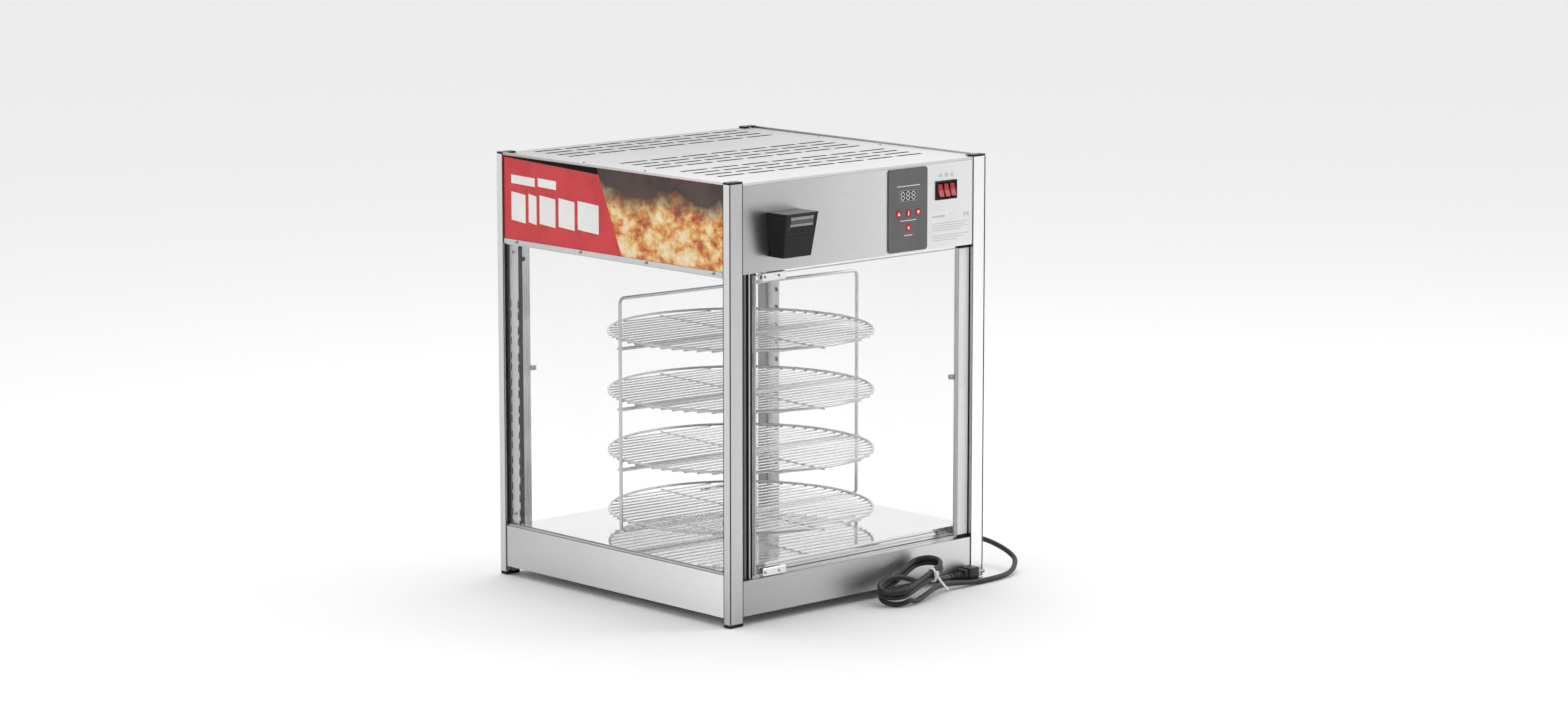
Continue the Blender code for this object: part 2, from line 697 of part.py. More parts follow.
def switches():
    s0, s1, t0, t1 = SWITCHES
    face = -HALF_Y - 1.6 * MM
    back = face + 2.2 * MM
    frame = as_part(boxes("switch_frame", [((s0, face, t0), (s1, back, t1))]), black_plastic())
    middle = SWITCH_MIDDLE
    b0, b1, tall = SWITCH_BODY
    join(frame, boxes("switch_body", [(
        (b0, back - 0.5 * MM, middle - tall), (b1, back + 22 * MM, middle + tall))]))
    wells = []
    for x in ROCKERS.values():
        half = ROCKER_WIDTH / 2 + 0.5 * MM
        wells.append(((x - half, face - MM, middle - 12.6 * MM),
                      (x + half, face + 11 * MM, middle + 12.6 * MM)))
    cut(frame, boxes("rocker_wells", wells))
    profile = ((-6.4, -10.4), (-2.6, 0.0), (-0.8, 10.6), (2.4, 10.4), (4.0, 0.0), (2.4, -9.4))
    for name, x in ROCKERS.items():
        def make(shape, half=ROCKER_WIDTH / 2):
            near = [shape.verts.new((-half, y * MM, z * MM)) for y, z in profile]
            face_near = shape.faces.new(near)
            drawn = bmesh.ops.extrude_face_region(shape, geom=[face_near])["geom"]
            moved = [v for v in drawn if isinstance(v, bmesh.types.BMVert)]
            bmesh.ops.translate(shape, verts=moved, vec=(2 * half, 0, 0))

        rocker = as_part(mesh_object(name, make, (x, face + 3 * MM, middle)), red_plastic())
        round_edges(rocker, 0.5 * MM)


def hopper_outline(reach_top, reach_bottom, wide_top, wide_bottom, low, high, back):
    """The eight corners of the hopper's wedge, which narrows and slopes back towards its bottom."""
    return [
        (HOPPER_X + side * width / 2, y, z)
        for z, width, reach in ((low, wide_bottom, reach_bottom), (high, wide_top, reach_top))
        for y in (back, -HALF_Y - reach)
        for side in (-1, 1)
    ]


def wedge(name, corners):
    order = ((0, 1, 3, 2), (4, 5, 7, 6), (0, 1, 5, 4), (2, 3, 7, 6), (0, 2, 6, 4), (1, 3, 7, 5))

    def make(shape):
        verts = [shape.verts.new(corner) for corner in corners]
        for face in order:
            shape.faces.new([verts[i] for i in face])

    return mesh_object(name, make)


def hopper():
    back = -HALF_Y + 0.6 * MM
    lid_gap = 3 * MM
    height = HOPPER_TOP - HOPPER_BOTTOM
    lean = (HOPPER_REACH - HOPPER_BOTTOM_REACH) / height
    top = HOPPER_TOP - lid_gap
    body = wedge("hopper", hopper_outline(
        HOPPER_REACH - lean * lid_gap, HOPPER_BOTTOM_REACH, HOPPER_TOP_WIDTH, HOPPER_BOTTOM_WIDTH,
        HOPPER_BOTTOM, top, back))
    as_part(body, black_plastic())
    round_edges(body, 0.8 * MM)
    wall = HOPPER_WALL
    cut(body, wedge("hopper_hollow", hopper_outline(
        HOPPER_REACH - wall + lean * 10 * MM, HOPPER_BOTTOM_REACH - wall + lean * wall,
        HOPPER_TOP_WIDTH - 2 * wall, HOPPER_BOTTOM_WIDTH - 2 * wall,
        HOPPER_BOTTOM + wall, HOPPER_TOP + 10 * MM, back - wall)))
    inner = HOPPER_BOTTOM_WIDTH / 2 - wall
    cut(body, boxes("hopper_front_gap", [(
        (HOPPER_X - inner, -HALF_Y - 60 * MM, HOPPER_SEAM),
        (HOPPER_X + inner, -HALF_Y - 25 * MM, HOPPER_TOP))]))
    cut(body, boxes("hopper_drain", [(
        (HOPPER_X - 14 * MM, back - 8 * MM, 591.5 * MM), (HOPPER_X + 14 * MM, back + 5 * MM, 601.5 * MM))]))
    hopper_lid(lean, inner)


def hopper_lid(lean, inner):
    """A lid hinged along the panel, whose front edge turns down to the seam."""
    hinge_y, hinge_z = -HALF_Y - 0.8 * MM, HOPPER_TOP - 1.2 * MM
    origin = Vector((HOPPER_X, hinge_y, hinge_z))
    front = -HALF_Y - HOPPER_REACH
    half = HOPPER_TOP_WIDTH / 2
    lid = boxes("hopper_lid", [(
        (HOPPER_X - half, front, HOPPER_TOP - 2.6 * MM), (HOPPER_X + half, hinge_y + 0.5 * MM, HOPPER_TOP))],
        origin)
    as_part(lid, black_plastic())
    drop = HOPPER_TOP - HOPPER_SEAM - 0.5 * MM
    narrow = inner - 0.5 * MM
    thick = 2.2 * MM
    skirt = wedge("hopper_lid_front", [
        (HOPPER_X + side * narrow, y + lean * fall, HOPPER_TOP - fall)
        for fall in (drop, 1.5 * MM)
        for y in (front + thick, front)
        for side in (-1, 1)
    ])
    join(lid, skirt)
    round_edges(lid, 0.5 * MM, angle=60)


def water_pan():
    x0, x1 = HOPPER_X - 55 * MM, HOPPER_X + 55 * MM
    y0, y1 = -262 * MM, -110 * MM
    z0, z1 = CEILING + SHEET / 2 + GAP, 589 * MM
    wall = 1.5 * MM
    pan = as_part(boxes("water_pan", [((x0, y0, z0), (x1, y1, z1))]), steel())
    chute = boxes("water_chute", [(
        (HOPPER_X - 15 * MM, -HALF_Y + 2.9 * MM, 587 * MM), (HOPPER_X + 15 * MM, y0 + 12 * MM, 602 * MM))])
    join(pan, chute)
    cut(pan, boxes("water_pan_hollow", [
        ((x0 + wall, y0 + wall, z0 + wall), (x1 - wall, y1 - wall, z1 + 5 * MM))]))
    cut(pan, boxes("water_chute_hollow", [(
        (HOPPER_X - 13.5 * MM, -HALF_Y - MM, 588.5 * MM), (HOPPER_X + 13.5 * MM, y0 + 20 * MM, 600.5 * MM))]))


def fan():
    """The circulation fan: a wheel under its motor, which hangs from a bridge over the ceiling."""
    place = (0, 0)
    motor = turned("fan_motor", (
        (0, 0.052), (0.031, 0.052), (0.031, 0.004), (0.012, 0.0), (0, 0.0),
    ), (*place, 610 * MM), black_plastic(), 20)
    base = CEILING + SHEET / 2 + GAP
    bridge = folded("motor_bridge", (
        (-112 * MM, base + 0.6 * MM), (-96 * MM, base + 0.6 * MM), (-96 * MM, 660 * MM),
        (96 * MM, 660 * MM), (96 * MM, base + 0.6 * MM), (112 * MM, base + 0.6 * MM),
    ), "Y", -14 * MM, 14 * MM)
    join(motor, bridge)
    join(motor, cylinder("motor_shaft", (*place, 600 * MM), 3 * MM, 24 * MM, sides=12))
    hub = turned("fan_wheel", (
        (0.0044, 0.022), (0.012, 0.022), (0.013, 0.003), (0.056, 0.003), (0.056, 0.0), (0.0044, 0.0),
        (0.0044, 0.022),
    ), (*place, 572 * MM), steel(), 24)
    blades = 8
    for i in range(blades):
        def make(shape, angle=2 * math.pi * i / blades):
            add_box(shape, (0.030, -0.0007, 0.001), (0.055, 0.0007, 0.020))
            shape.transform(Matrix.Rotation(angle, 4, "Z") @ Matrix.Translation((0, 0.012, 0)))

        join(hub, mesh_object(f"fan_blade_{i}", make, (*place, 572 * MM)))


def heater():
    """A tubular element in a ring round the fan wheel, with its two ends turned up side by side."""
    radius, level = 76 * MM, 584 * MM
    arc = [math.radians(12 + 336 * i / 22) for i in range(23)]
    ring = [(radius * math.sin(a), -radius * math.cos(a), level) for a in arc]
    points = [(ring[0][0], ring[0][1], level + 45 * MM), (ring[0][0], ring[0][1], level + 8 * MM)]
    points += ring + [(ring[-1][0], ring[-1][1], level + 8 * MM), (ring[-1][0], ring[-1][1], level + 45 * MM)]
    as_part(tube_curve("heater", points, 4 * MM), mirror_steel())


def drive():
    """The gearmotor under the floor and the hub on its shaft, which carries the wire frame."""
    low = TRAY_BOTTOM + SHEET + GAP
    motor = turned("gearmotor", (
        (0, 0.064), (0.0036, 0.064), (0.0036, 0.044), (0.012, 0.044), (0.012, 0.040), (0.034, 0.040),
        (0.034, 0.0), (0, 0.0),
    ), (0, 0, low), black_plastic(), 24)
    join(motor, boxes("motor_feet", [((-48 * MM, -14 * MM, low), (48 * MM, 14 * MM, low + 3 * MM))]))
    hub = turned("drive_hub", (
        (0, 0.0166), (0.020, 0.0166), (0.022, 0.0146), (0.022, 0.006), (0.032, 0.004), (0.032, 0.0012),
        (0.011, 0.0012), (0.011, -0.016), (0.0042, -0.016), (0.0042, 0.0), (0, 0.0),
    ), (0, 0, FLOOR_TOP), mirror_steel(), 24)
    cheek = FRAME_WIRE / 2 + GAP

    def make(shape):
        for side in (-1, 1):
            y = sorted((side * cheek, side * (cheek + 4 * MM)))
            add_box(shape, (-12 * MM, y[0], 14 * MM), (12 * MM, y[1], 22 * MM))
        shape.transform(Matrix.Rotation(RACK_ANGLE, 4, "Z"))

    join(hub, mesh_object("hub_cheeks", make, (0, 0, FLOOR_TOP)))


def frame_loop():
    """The wire frame's closed rectangle with round corners, in the plane y = 0."""
    half, low, high, corner = FRAME_HALF, FRAME_BOTTOM, FRAME_TOP, FRAME_CORNER
    centres = (
        (half - corner, high - corner, 0), (corner - half, high - corner, 90),
        (corner - half, low + corner, 180), (half - corner, low + corner, 270),
    )
    points = []
    for x, z, start in centres:
        for step in range(5):
            angle = math.radians(start + 22.5 * step)
            points.append((x + corner * math.cos(angle), 0, z + corner * math.sin(angle)))
    return points


def rack_frame(turntable):
    frame = meshed(tube_curve("rack_frame", frame_loop(), FRAME_WIRE / 2, closed=True, resolution=1))
    as_part(frame, bright_wire(), turntable)
    for tier, level in enumerate(TIERS[1:], 2):
        for side in (-1, 1):
            bar = cylinder(f"bar_{tier}_{'front' if side < 0 else 'back'}",
                           (0, side * BAR_OFFSET, level - BAR_DROP), BAR_WIRE / 2,
                           2 * FRAME_HALF + 6 * MM, "X", 6)
            join(frame, bar)
            bpy.data.objects[bar.name].parent = turntable
    return frame


def wire_rack(name, level, turntable):
    """A round wire shelf: parallel wires under a rim ring, and one wire across beneath them."""
    rim_points = [
        (RACK_RADIUS * math.cos(2 * math.pi * i / 28), RACK_RADIUS * math.sin(2 * math.pi * i / 28), 0)
        for i in range(28)
    ]
    rack = meshed(tube_curve(name, rim_points, RIM_WIRE / 2, closed=True, resolution=0))
    rack.location = (0, 0, level)
    as_part(rack, bright_wire(), turntable)
    half = GRID_WIRE / 2
    wires = []
    count = int(RACK_RADIUS / GRID_PITCH)
    low, high = -RIM_WIRE / 2 - 1.6 * MM, -RIM_WIRE / 2 + GRID_WIRE - 1.6 * MM
    for i in range(-count + 1, count):
        y = i * GRID_PITCH
        reach = math.sqrt(RACK_RADIUS ** 2 - y ** 2) - MM
        wires.append(((-reach, y - half, low), (reach, y + half, high)))
    grid = boxes(name + "_wires", wires)
    cross = boxes(name + "_cross", [(
        (-half, MM - RACK_RADIUS, low - 1.7 * MM), (half, RACK_RADIUS - MM, low + MM))])
    for other in (cross, grid):
        other.location = (0, 0, level)
        join(rack, other)
        other.parent = turntable


def turning_rack():
    turntable = pivot_empty("turntable", (0, 0, 0))
    turntable.rotation_euler = (0, 0, RACK_ANGLE)
    rack_frame(turntable)
    for number, level in enumerate(TIERS, 1):
        wire_rack(f"rack_{number}", level, turntable)


def hank_outline(radius, steps=12):
    """Two straight runs joined by half circles."""
    outline = []
    for end in (1, -1):
        for step in range(steps + 1):
            angle = math.pi * (step / steps - 0.5)
            outline.append((end * (HANK_STRAIGHT + radius * math.cos(angle)), end * radius * math.sin(angle)))
    return outline


def cord_and_plug():
    """The mains cord: strain relief, lead, tied hank, short tail and a three-blade plug."""
    wall = HALF_X - 1 * MM
    gland = turned("cord_gland", (
        (0, GLAND_LENGTH), (0.0056, GLAND_LENGTH), (0.0078, 0.004), (0.0105, 0.004), (0.0105, 0.0013),
        (0.006, 0.0013), (0.006, -0.010), (0, -0.010),
    ), (wall, GLAND_Y, GLAND_Z), cord_black(), 16)
    gland.rotation_euler = (0, math.pi / 2, 0)
    spacing = 2.4 * CORD
    as_part(tube_curve("cord_lead", smooth_route(LEAD_ROUTE, spacing), CORD / 2), cord_black())
    as_part(tube_curve("cord_tail", smooth_route(TAIL_ROUTE, 0.4 * CORD), CORD / 2), cord_black())
    loops = [hank_outline(HANK_RADIUS), hank_outline(HANK_HOLE_RADIUS)]
    hank = outline_curve("cord_hank", loops, -HANK_THICKNESS / 2, HANK_THICKNESS / 2)
    hank.location = HANK_CENTRE
    hank.rotation_euler = HANK_TURN
    as_part(hank, cord_black())
    (x0, x1), (y0, y1), (z0, z1) = ((a * MM, b * MM) for a, b in PLUG_BODY)
    plug = as_part(boxes("plug", [((x0, y0, z0), (x1, y1, z1))]), cord_black())
    round_edges(plug, 4 * MM, 2)
    axis_y, axis_z = PLUG_AXIS
    relief = cylinder("plug_relief", (x0 - 10 * MM, axis_y, axis_z), 7 * MM, 30 * MM, "X", 12)
    for vertex in relief.data.vertices:
        if vertex.co.x < 0:
            vertex.co.y, vertex.co.z = vertex.co.y * 0.8, vertex.co.z * 0.8
    join(plug, relief)
    for side in (-1, 1):
        y = axis_y + side * 6.35 * MM
        join(plug, boxes("blade_" + ("near" if side < 0 else "far"), [
            ((x1 - 3 * MM, y - 0.75 * MM, axis_z - 0.5 * MM),
             (x1 + 17.5 * MM, y + 0.75 * MM, axis_z + 6 * MM))]))
    join(plug, cylinder("blade_ground", (x1 + 8 * MM, axis_y, axis_z - 8.5 * MM), 2.4 * MM, 24 * MM, "X", 10))


def cable_tie():
    """The tie round the hank's near run, with its head on top and its spare end left long."""
    half = HANK_THICKNESS / 2 + GAP
    band, width, place = 1.2 * MM, 2.4 * MM, 26 * MM
    near, far = -HANK_RADIUS - 0.5 * MM, -HANK_HOLE_RADIUS + 0.5 * MM
    tie = boxes("cable_tie", [
        ((place - width, near - band, -half - band), (place + width, far + band, half + band))])
    inside = boxes("tie_inside", [((place - 2 * width, near, -half), (place + 2 * width, far, half))])
    head = boxes("tie_head", [
        ((place - 3.8 * MM, near - 5 * MM, half - 6 * MM), (place + 3.8 * MM, near - 0.5 * band, half + 1 * MM))])
    spare = boxes("tie_spare_end", [
        ((place - 2.1 * MM, near - 4.2 * MM, half - 40 * MM), (place + 2.1 * MM, near - 3 * MM, half - 3 * MM))])
    as_part(tie, material("white_nylon", (0.80, 0.80, 0.78), 0.45))
    cut(tie, inside)
    join(tie, head)
    join(tie, spare)
    for piece in (tie, inside, head, spare):
        piece.location = HANK_CENTRE
        piece.rotation_euler = HANK_TURN


def build():
    corner_posts()
    base_tray()
    chamber_floor()
    chamber_ceiling()
    roof_panel()
    header_panels()
    signs()
    side_glass()
    swing_door("door_front", -1)
    swing_door("door_rear", 1)
    door_catches()
    lamp_strips()
    controller()
    buttons()
    switches()
    hopper()
    water_pan()
    fan()
    heater()
    drive()
    turning_rack()
    cord_and_plug()
    cable_tie()


build()
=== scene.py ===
"""Looks for the countertop hot food display case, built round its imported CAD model."""

import math

import bmesh
import bpy
from mathutils import Euler, Matrix, Vector


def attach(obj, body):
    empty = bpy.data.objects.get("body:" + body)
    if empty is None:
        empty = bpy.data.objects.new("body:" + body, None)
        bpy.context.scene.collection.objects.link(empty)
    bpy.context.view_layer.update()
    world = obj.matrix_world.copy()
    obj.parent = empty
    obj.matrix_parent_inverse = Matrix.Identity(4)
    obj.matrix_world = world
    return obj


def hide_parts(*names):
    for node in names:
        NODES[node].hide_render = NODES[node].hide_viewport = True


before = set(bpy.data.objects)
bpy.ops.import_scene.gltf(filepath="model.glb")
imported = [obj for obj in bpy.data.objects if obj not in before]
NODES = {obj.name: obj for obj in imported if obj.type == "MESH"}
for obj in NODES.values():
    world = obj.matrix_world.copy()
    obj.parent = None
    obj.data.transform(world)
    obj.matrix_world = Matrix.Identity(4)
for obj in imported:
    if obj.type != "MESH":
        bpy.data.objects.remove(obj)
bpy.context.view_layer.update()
SHIFT_Y = 0.022  # the cabinet's turning axis is this far behind the row's origin
MM = 0.001


def at(x, y, z):
    """A point given in millimetres about the cabinet's own axis, in the row frame."""
    return Vector((x * MM, y * MM + SHIFT_Y, z * MM))


# Camera, floor and light

CAMERA_PLACE = (-4918.6, -5381.1, 1587.5)
CAMERA_TARGET = (52.2, -48.7, 363.7)
LENS, SENSOR = 102.3, 36
DARK_SIDE = Vector((-0.50, -0.84, 0.12)).normalized()  # where the room is darkest, as seen from the case
DARK_RAMP = ((0.15, 1.0), (0.80, 0.10))  # (how far towards that side, brightness)
FLOOR_DROP = 0.0004  # the floor lies this much under the feet, so that the two don't share a plane


def look_at(obj, target):
    obj.rotation_euler = (Vector(target) - obj.location).to_track_quat("-Z", "Y").to_euler()


def make_camera():
    data = bpy.data.cameras.new("camera")
    data.lens = LENS
    data.sensor_width = SENSOR
    data.clip_end = 60
    camera = bpy.data.objects.new("camera", data)
    camera.location = at(*CAMERA_PLACE)
    look_at(camera, at(*CAMERA_TARGET))
    bpy.context.scene.collection.objects.link(camera)
    bpy.context.scene.camera = camera


def area_light(name, place, target, size, power):
    data = bpy.data.lights.new(name, "AREA")
    data.shape = "RECTANGLE"
    data.size, data.size_y = size
    data.energy = power
    lamp = bpy.data.objects.new(name, data)
    lamp.location = place
    look_at(lamp, target)
    bpy.context.scene.collection.objects.link(lamp)


def studio():
    """A bright room over a white floor, darker low down on the side the camera looks from."""
    bpy.context.scene.view_settings.view_transform = "Standard"
    world = bpy.data.worlds.new("studio")
    bpy.context.scene.world = world
    world.use_nodes = True
    tree = world.node_tree
    background = tree.nodes["Background"]
    coordinates = tree.nodes.new("ShaderNodeTexCoord")
    towards = tree.nodes.new("ShaderNodeVectorMath")
    towards.operation = "DOT_PRODUCT"
    towards.inputs[1].default_value = DARK_SIDE
    ramp = tree.nodes.new("ShaderNodeValToRGB")
    for element, (place, level) in zip(ramp.color_ramp.elements, DARK_RAMP):
        element.position = place
        element.color = (level, level, level, 1)
    tree.links.new(coordinates.outputs["Generated"], towards.inputs[0])
    tree.links.new(towards.outputs["Value"], ramp.inputs["Fac"])
    tree.links.new(ramp.outputs["Color"], background.inputs["Color"])
    background.inputs["Strength"].default_value = 1.12
    area_light("key", (2.6, -2.2, 2.6), (0.1, 0, 0.4), (1.8, 2.2), 24)
    area_light("fill", (-3.4, -1.0, 1.8), (0, 0, 0.35), (2.0, 2.0), 8)
    area_light("top", (0.2, 0.4, 3.2), (0, 0, 0.4), (2.6, 2.6), 26)
    bpy.ops.mesh.primitive_plane_add(size=60, location=(0, 0, -FLOOR_DROP))
    floor = bpy.context.object
    floor.name = "studio_floor"
    paint = bpy.data.materials.new("studio_floor")
    paint.use_nodes = True
    shader = paint.node_tree.nodes["Principled BSDF"]
    shader.inputs["Base Color"].default_value = (0.97, 0.97, 0.97, 1)
    shader.inputs["Roughness"].default_value = 0.8
    shader.inputs["Specular IOR Level"].default_value = 0.2
    floor.data.materials.append(paint)


make_camera()
studio()


# Materials


class Shader:
    """A Principled material with a few short ways of adding the nodes that vary over its surface."""

    def __init__(self, name, colour, roughness, metallic=0.0, **settings):
        self.material = bpy.data.materials.new(name)
        self.material.use_nodes = True
        self.tree = self.material.node_tree
        self.surface = self.tree.nodes["Principled BSDF"]
        self.set("Base Color", (*colour, 1.0))
        self.set("Roughness", roughness)
        self.set("Metallic", metallic)
        for socket, value in settings.items():
            self.set(socket.replace("_", " "), value)
        self.place = self.tree.nodes.new("ShaderNodeTexCoord").outputs["Object"]

    def set(self, socket, value):
        self.surface.inputs[socket].default_value = value

    def node(self, kind, **values):
        made = self.tree.nodes.new(kind)
        for key, value in values.items():
            if key in made.inputs:
                made.inputs[key].default_value = value
            else:
                setattr(made, key, value)
        return made

    def link(self, source, target):
        self.tree.links.new(source, target)

    def stretched(self, scale):
        mapping = self.node("ShaderNodeMapping")
        mapping.inputs["Scale"].default_value = scale
        self.link(self.place, mapping.inputs["Vector"])
        return mapping.outputs["Vector"]

    def noise(self, scale, stretch=(1, 1, 1), detail=4.0, roughness=0.55):
        made = self.node("ShaderNodeTexNoise", Scale=scale, Detail=detail, Roughness=roughness)
        self.link(self.stretched(stretch), made.inputs["Vector"])
        return made.outputs["Fac"]

    def ramp(self, value, stops):
        made = self.node("ShaderNodeValToRGB")
        ramp = made.color_ramp
        while len(ramp.elements) < len(stops):
            ramp.elements.new(0.5)
        for element, (position, colour) in zip(ramp.elements, stops):
            element.position = position
            element.color = (*colour, 1.0)
        self.link(value, made.inputs["Fac"])
        return made.outputs["Color"]

    def span(self, value, low, high, source=(0.3, 0.7)):
        made = self.node("ShaderNodeMapRange")
        for socket, number in zip(("From Min", "From Max", "To Min", "To Max"), (*source, low, high)):
            made.inputs[socket].default_value = number
        self.link(value, made.inputs["Value"])
        return made.outputs["Result"]

    def product(self, first, second):
        made = self.node("ShaderNodeMath", operation="MULTIPLY")
        self.link(first, made.inputs[0])
        self.link(second, made.inputs[1])
        return made.outputs[0]

    def coordinate(self, axis):
        axes = self.node("ShaderNodeSeparateXYZ")
        self.link(self.place, axes.inputs[0])
        return axes.outputs[axis]

    def bump(self, value, strength, distance):
        made = self.node("ShaderNodeBump", Strength=strength, Distance=distance)
        self.link(value, made.inputs["Height"])
        self.link(made.outputs["Normal"], self.surface.inputs["Normal"])

    def feed(self, value, socket):
        self.link(value, self.surface.inputs[socket])


def grey(level):
    return (level, level, level)


def streaky(made, tone, streaks, swing, roughness):
    """Gives a metal its tone, with streaks that lighten and darken it and vary its gloss and height."""
    streaked = made.product(tone, made.span(streaks, 1 - swing, 1 + swing))
    colour = made.node("ShaderNodeCombineColor")
    for channel in ("Red", "Green", "Blue"):
        made.link(streaked, colour.inputs[channel])
    made.feed(colour.outputs[0], "Base Color")
    made.feed(made.span(streaks, roughness - 0.04, roughness + 0.05), "Roughness")
    made.bump(streaks, 0.05, 0.00008)
    return made.material


def brushed(name, painted_light_levels, roughness, along="X", span=(-0.285, 0.285), across="X"):
    """Brushed metal: fine streaks along one axis, and a painted change of light from one end to the other,
    standing in for the room's light falling unevenly across it.
    """
    made = Shader(name, grey(sum(painted_light_levels) / 2), roughness, 1.0)
    stretch = {"X": (1.5, 500, 500), "Y": (500, 1.5, 500)}[along]
    streaks = made.noise(3.0, stretch, 4.0, 0.65)
    clouds = made.noise(2.2, (1, 1, 1), 3.0)
    # Painted light: a ramp of brightness along one axis, times a random cloudy tone.
    ends = made.span(made.coordinate(across), *painted_light_levels, span)
    tone = made.product(ends, made.span(clouds, 0.92, 1.08))
    return streaky(made, tone, streaks, 0.045, roughness)


def two_faced_painted_light(name, front, flank, flank_axis, flank_span, roughness, stretch):
    """Brushed metal with painted light: faces across Y and faces across X each get their own painted ramp of
    brightness, so the sides come out lit and shaded differently.
    """
    made = Shader(name, grey(0.5), roughness, 1.0)
    streaks = made.noise(3.0, stretch, 4.0, 0.65)
    normal = made.node("ShaderNodeSeparateXYZ")
    made.link(made.node("ShaderNodeNewGeometry").outputs["Normal"], normal.inputs[0])
    sideways = made.node("ShaderNodeMath", operation="ABSOLUTE")
    made.link(normal.outputs["X"], sideways.inputs[0])
    # Painted light: the face's normal picks which painted ramp of brightness it takes.
    mixed = made.node("ShaderNodeMix", data_type="FLOAT")
    made.link(sideways.outputs[0], mixed.inputs[0])
    made.link(made.span(made.coordinate("X"), *front, (-0.27, 0.27)), mixed.inputs[2])
    made.link(made.span(made.coordinate(flank_axis), *flank, flank_span), mixed.inputs[3])
    return streaky(made, mixed.outputs[0], streaks, 0.05, roughness)


def polished(name, level, roughness):
    """Polished metal with faint cloudy wear."""
    made = Shader(name, grey(level), roughness, 1.0)
    wear = made.noise(14.0, (1, 1, 1), 6.0, 0.6)
    made.feed(made.span(wear, roughness * 0.6, roughness * 1.7), "Roughness")
    made.feed(made.ramp(wear, ((0.3, grey(0.93 * level)), (0.7, grey(level)))), "Base Color")
    made.bump(made.noise(420.0), 0.03, 0.0001)
    return made.material


def moulded(name, colour, roughness, grain=900.0, strength=0.10, wear=0.15, shine=0.5):
    """Moulded plastic or rubber: a fine pebbled skin, with its gloss and tone slightly uneven."""
    made = Shader(name, colour, roughness, 0.0, Specular_IOR_Level=shine)
    skin = made.noise(grain, (1, 1, 1), 2.0)
    patches = made.noise(26.0, (1, 1, 1), 5.0)
    lighter = tuple(min(1.0, part * (1 + wear) + 0.004) for part in colour)
    darker = tuple(part * (1 - wear) for part in colour)
    made.feed(made.ramp(patches, ((0.32, darker), (0.68, lighter))), "Base Color")
    made.feed(made.span(patches, roughness - 0.05, roughness + 0.07), "Roughness")
    made.bump(skin, strength, 0.0002)
    return made.material


def glass(name, colour, alpha, roughness=0.02):
    """Clear glass, seen through, with a faint film that lies unevenly on it."""
    made = Shader(name, colour, roughness, 0.0, IOR=1.5)
    film = made.noise(6.0, (1, 1, 0.6), 6.0, 0.6)
    made.feed(made.span(film, alpha * 0.8, alpha * 1.2), "Alpha")
    made.feed(made.span(film, roughness, roughness + 0.03), "Roughness")
    made.feed(made.ramp(film, ((0.3, tuple(0.97 * part for part in colour)), (0.7, colour))), "Base Color")
    return made.material


def picture_finish():
    """The sign's warm abstract half: a dark brown top, then blotches of cream, orange and red."""
    made = Shader("sign_picture", (0.6, 0.3, 0.1), 0.30)
    blotches = made.noise(34.0, (1, 1, 1.4), 7.0, 0.62)
    warm = made.ramp(blotches, (
        (0.30, (0.22, 0.035, 0.012)), (0.40, (0.52, 0.10, 0.02)), (0.48, (0.74, 0.32, 0.07)),
        (0.56, (0.88, 0.62, 0.28)), (0.68, (0.93, 0.82, 0.60))))
    shade = made.noise(16.0, (1, 1, 1), 3.0)
    brown = made.ramp(shade, ((0.35, (0.020, 0.012, 0.010)), (0.65, (0.075, 0.035, 0.025))))
    wavy = made.node("ShaderNodeMath", operation="MULTIPLY_ADD")
    made.link(shade, wavy.inputs[0])
    wavy.inputs[1].default_value = 0.09
    made.link(made.coordinate("Z"), wavy.inputs[2])
    rise = made.span(wavy.outputs[0], 0.0, 1.0, (0.690, 0.722))
    mixed = made.node("ShaderNodeMix", data_type="RGBA")
    made.link(rise, mixed.inputs[0])
    made.link(warm, mixed.inputs[6])
    made.link(brown, mixed.inputs[7])
    made.feed(mixed.outputs[2], "Base Color")
    made.feed(made.span(shade, 0.24, 0.36), "Roughness")
    return made.material


# The panel and the roof get painted light: the panel is lighter towards +X, the roof darker towards +Y.
PANEL = brushed("steel_panel", (0.47, 0.90), 0.30)
STEEL_Y = brushed("steel_brushed_y", (0.62, 0.62), 0.27, "Y")
ROOF = brushed("steel_roof", (0.70, 0.40), 0.34, "X", (-0.26, 0.34), "Y")
MIRROR = polished("steel_mirror", 0.80, 0.06)
CHROME = polished("chrome_wire", 0.58, 0.16)
NICKEL = polished("nickel", 0.50, 0.20)
BLACK = moulded("black_plastic", (0.008, 0.008, 0.009), 0.34, shine=0.22)
BLACK_GLOSS = moulded("black_lid", (0.016, 0.016, 0.017), 0.26, 500.0, 0.06, shine=0.32)
SEAL = moulded("black_seal", (0.007, 0.007, 0.007), 0.55, 1200.0, shine=0.2)
# Also used as painted shade on the hinged jambs' bands.
MOTOR_PAINT_AND_JAMB_SHADE = moulded("motor_paint_and_jamb_shade", (0.04, 0.04, 0.042), 0.5, 700.0, 0.2)
RUBBER = moulded("cord_rubber", (0.018, 0.018, 0.020), 0.42, 1100.0, 0.14)
RED = moulded("red_plastic", (0.52, 0.012, 0.018), 0.20, 300.0, 0.03, 0.1)
WHITE = moulded("white_print", (0.88, 0.88, 0.87), 0.4, 800.0, 0.03, 0.03)
NYLON = moulded("white_nylon", (0.82, 0.82, 0.79), 0.4, 500.0, 0.08, 0.05)
FILM = moulded("graphite_film", (0.125, 0.125, 0.128), 0.34, 1500.0, 0.08, 0.06)
CLEAR = glass("clear_glass", (0.97, 0.98, 0.98), 0.045)
EDGE = glass("glass_edge", (0.72, 0.79, 0.77), 0.75, 0.10)
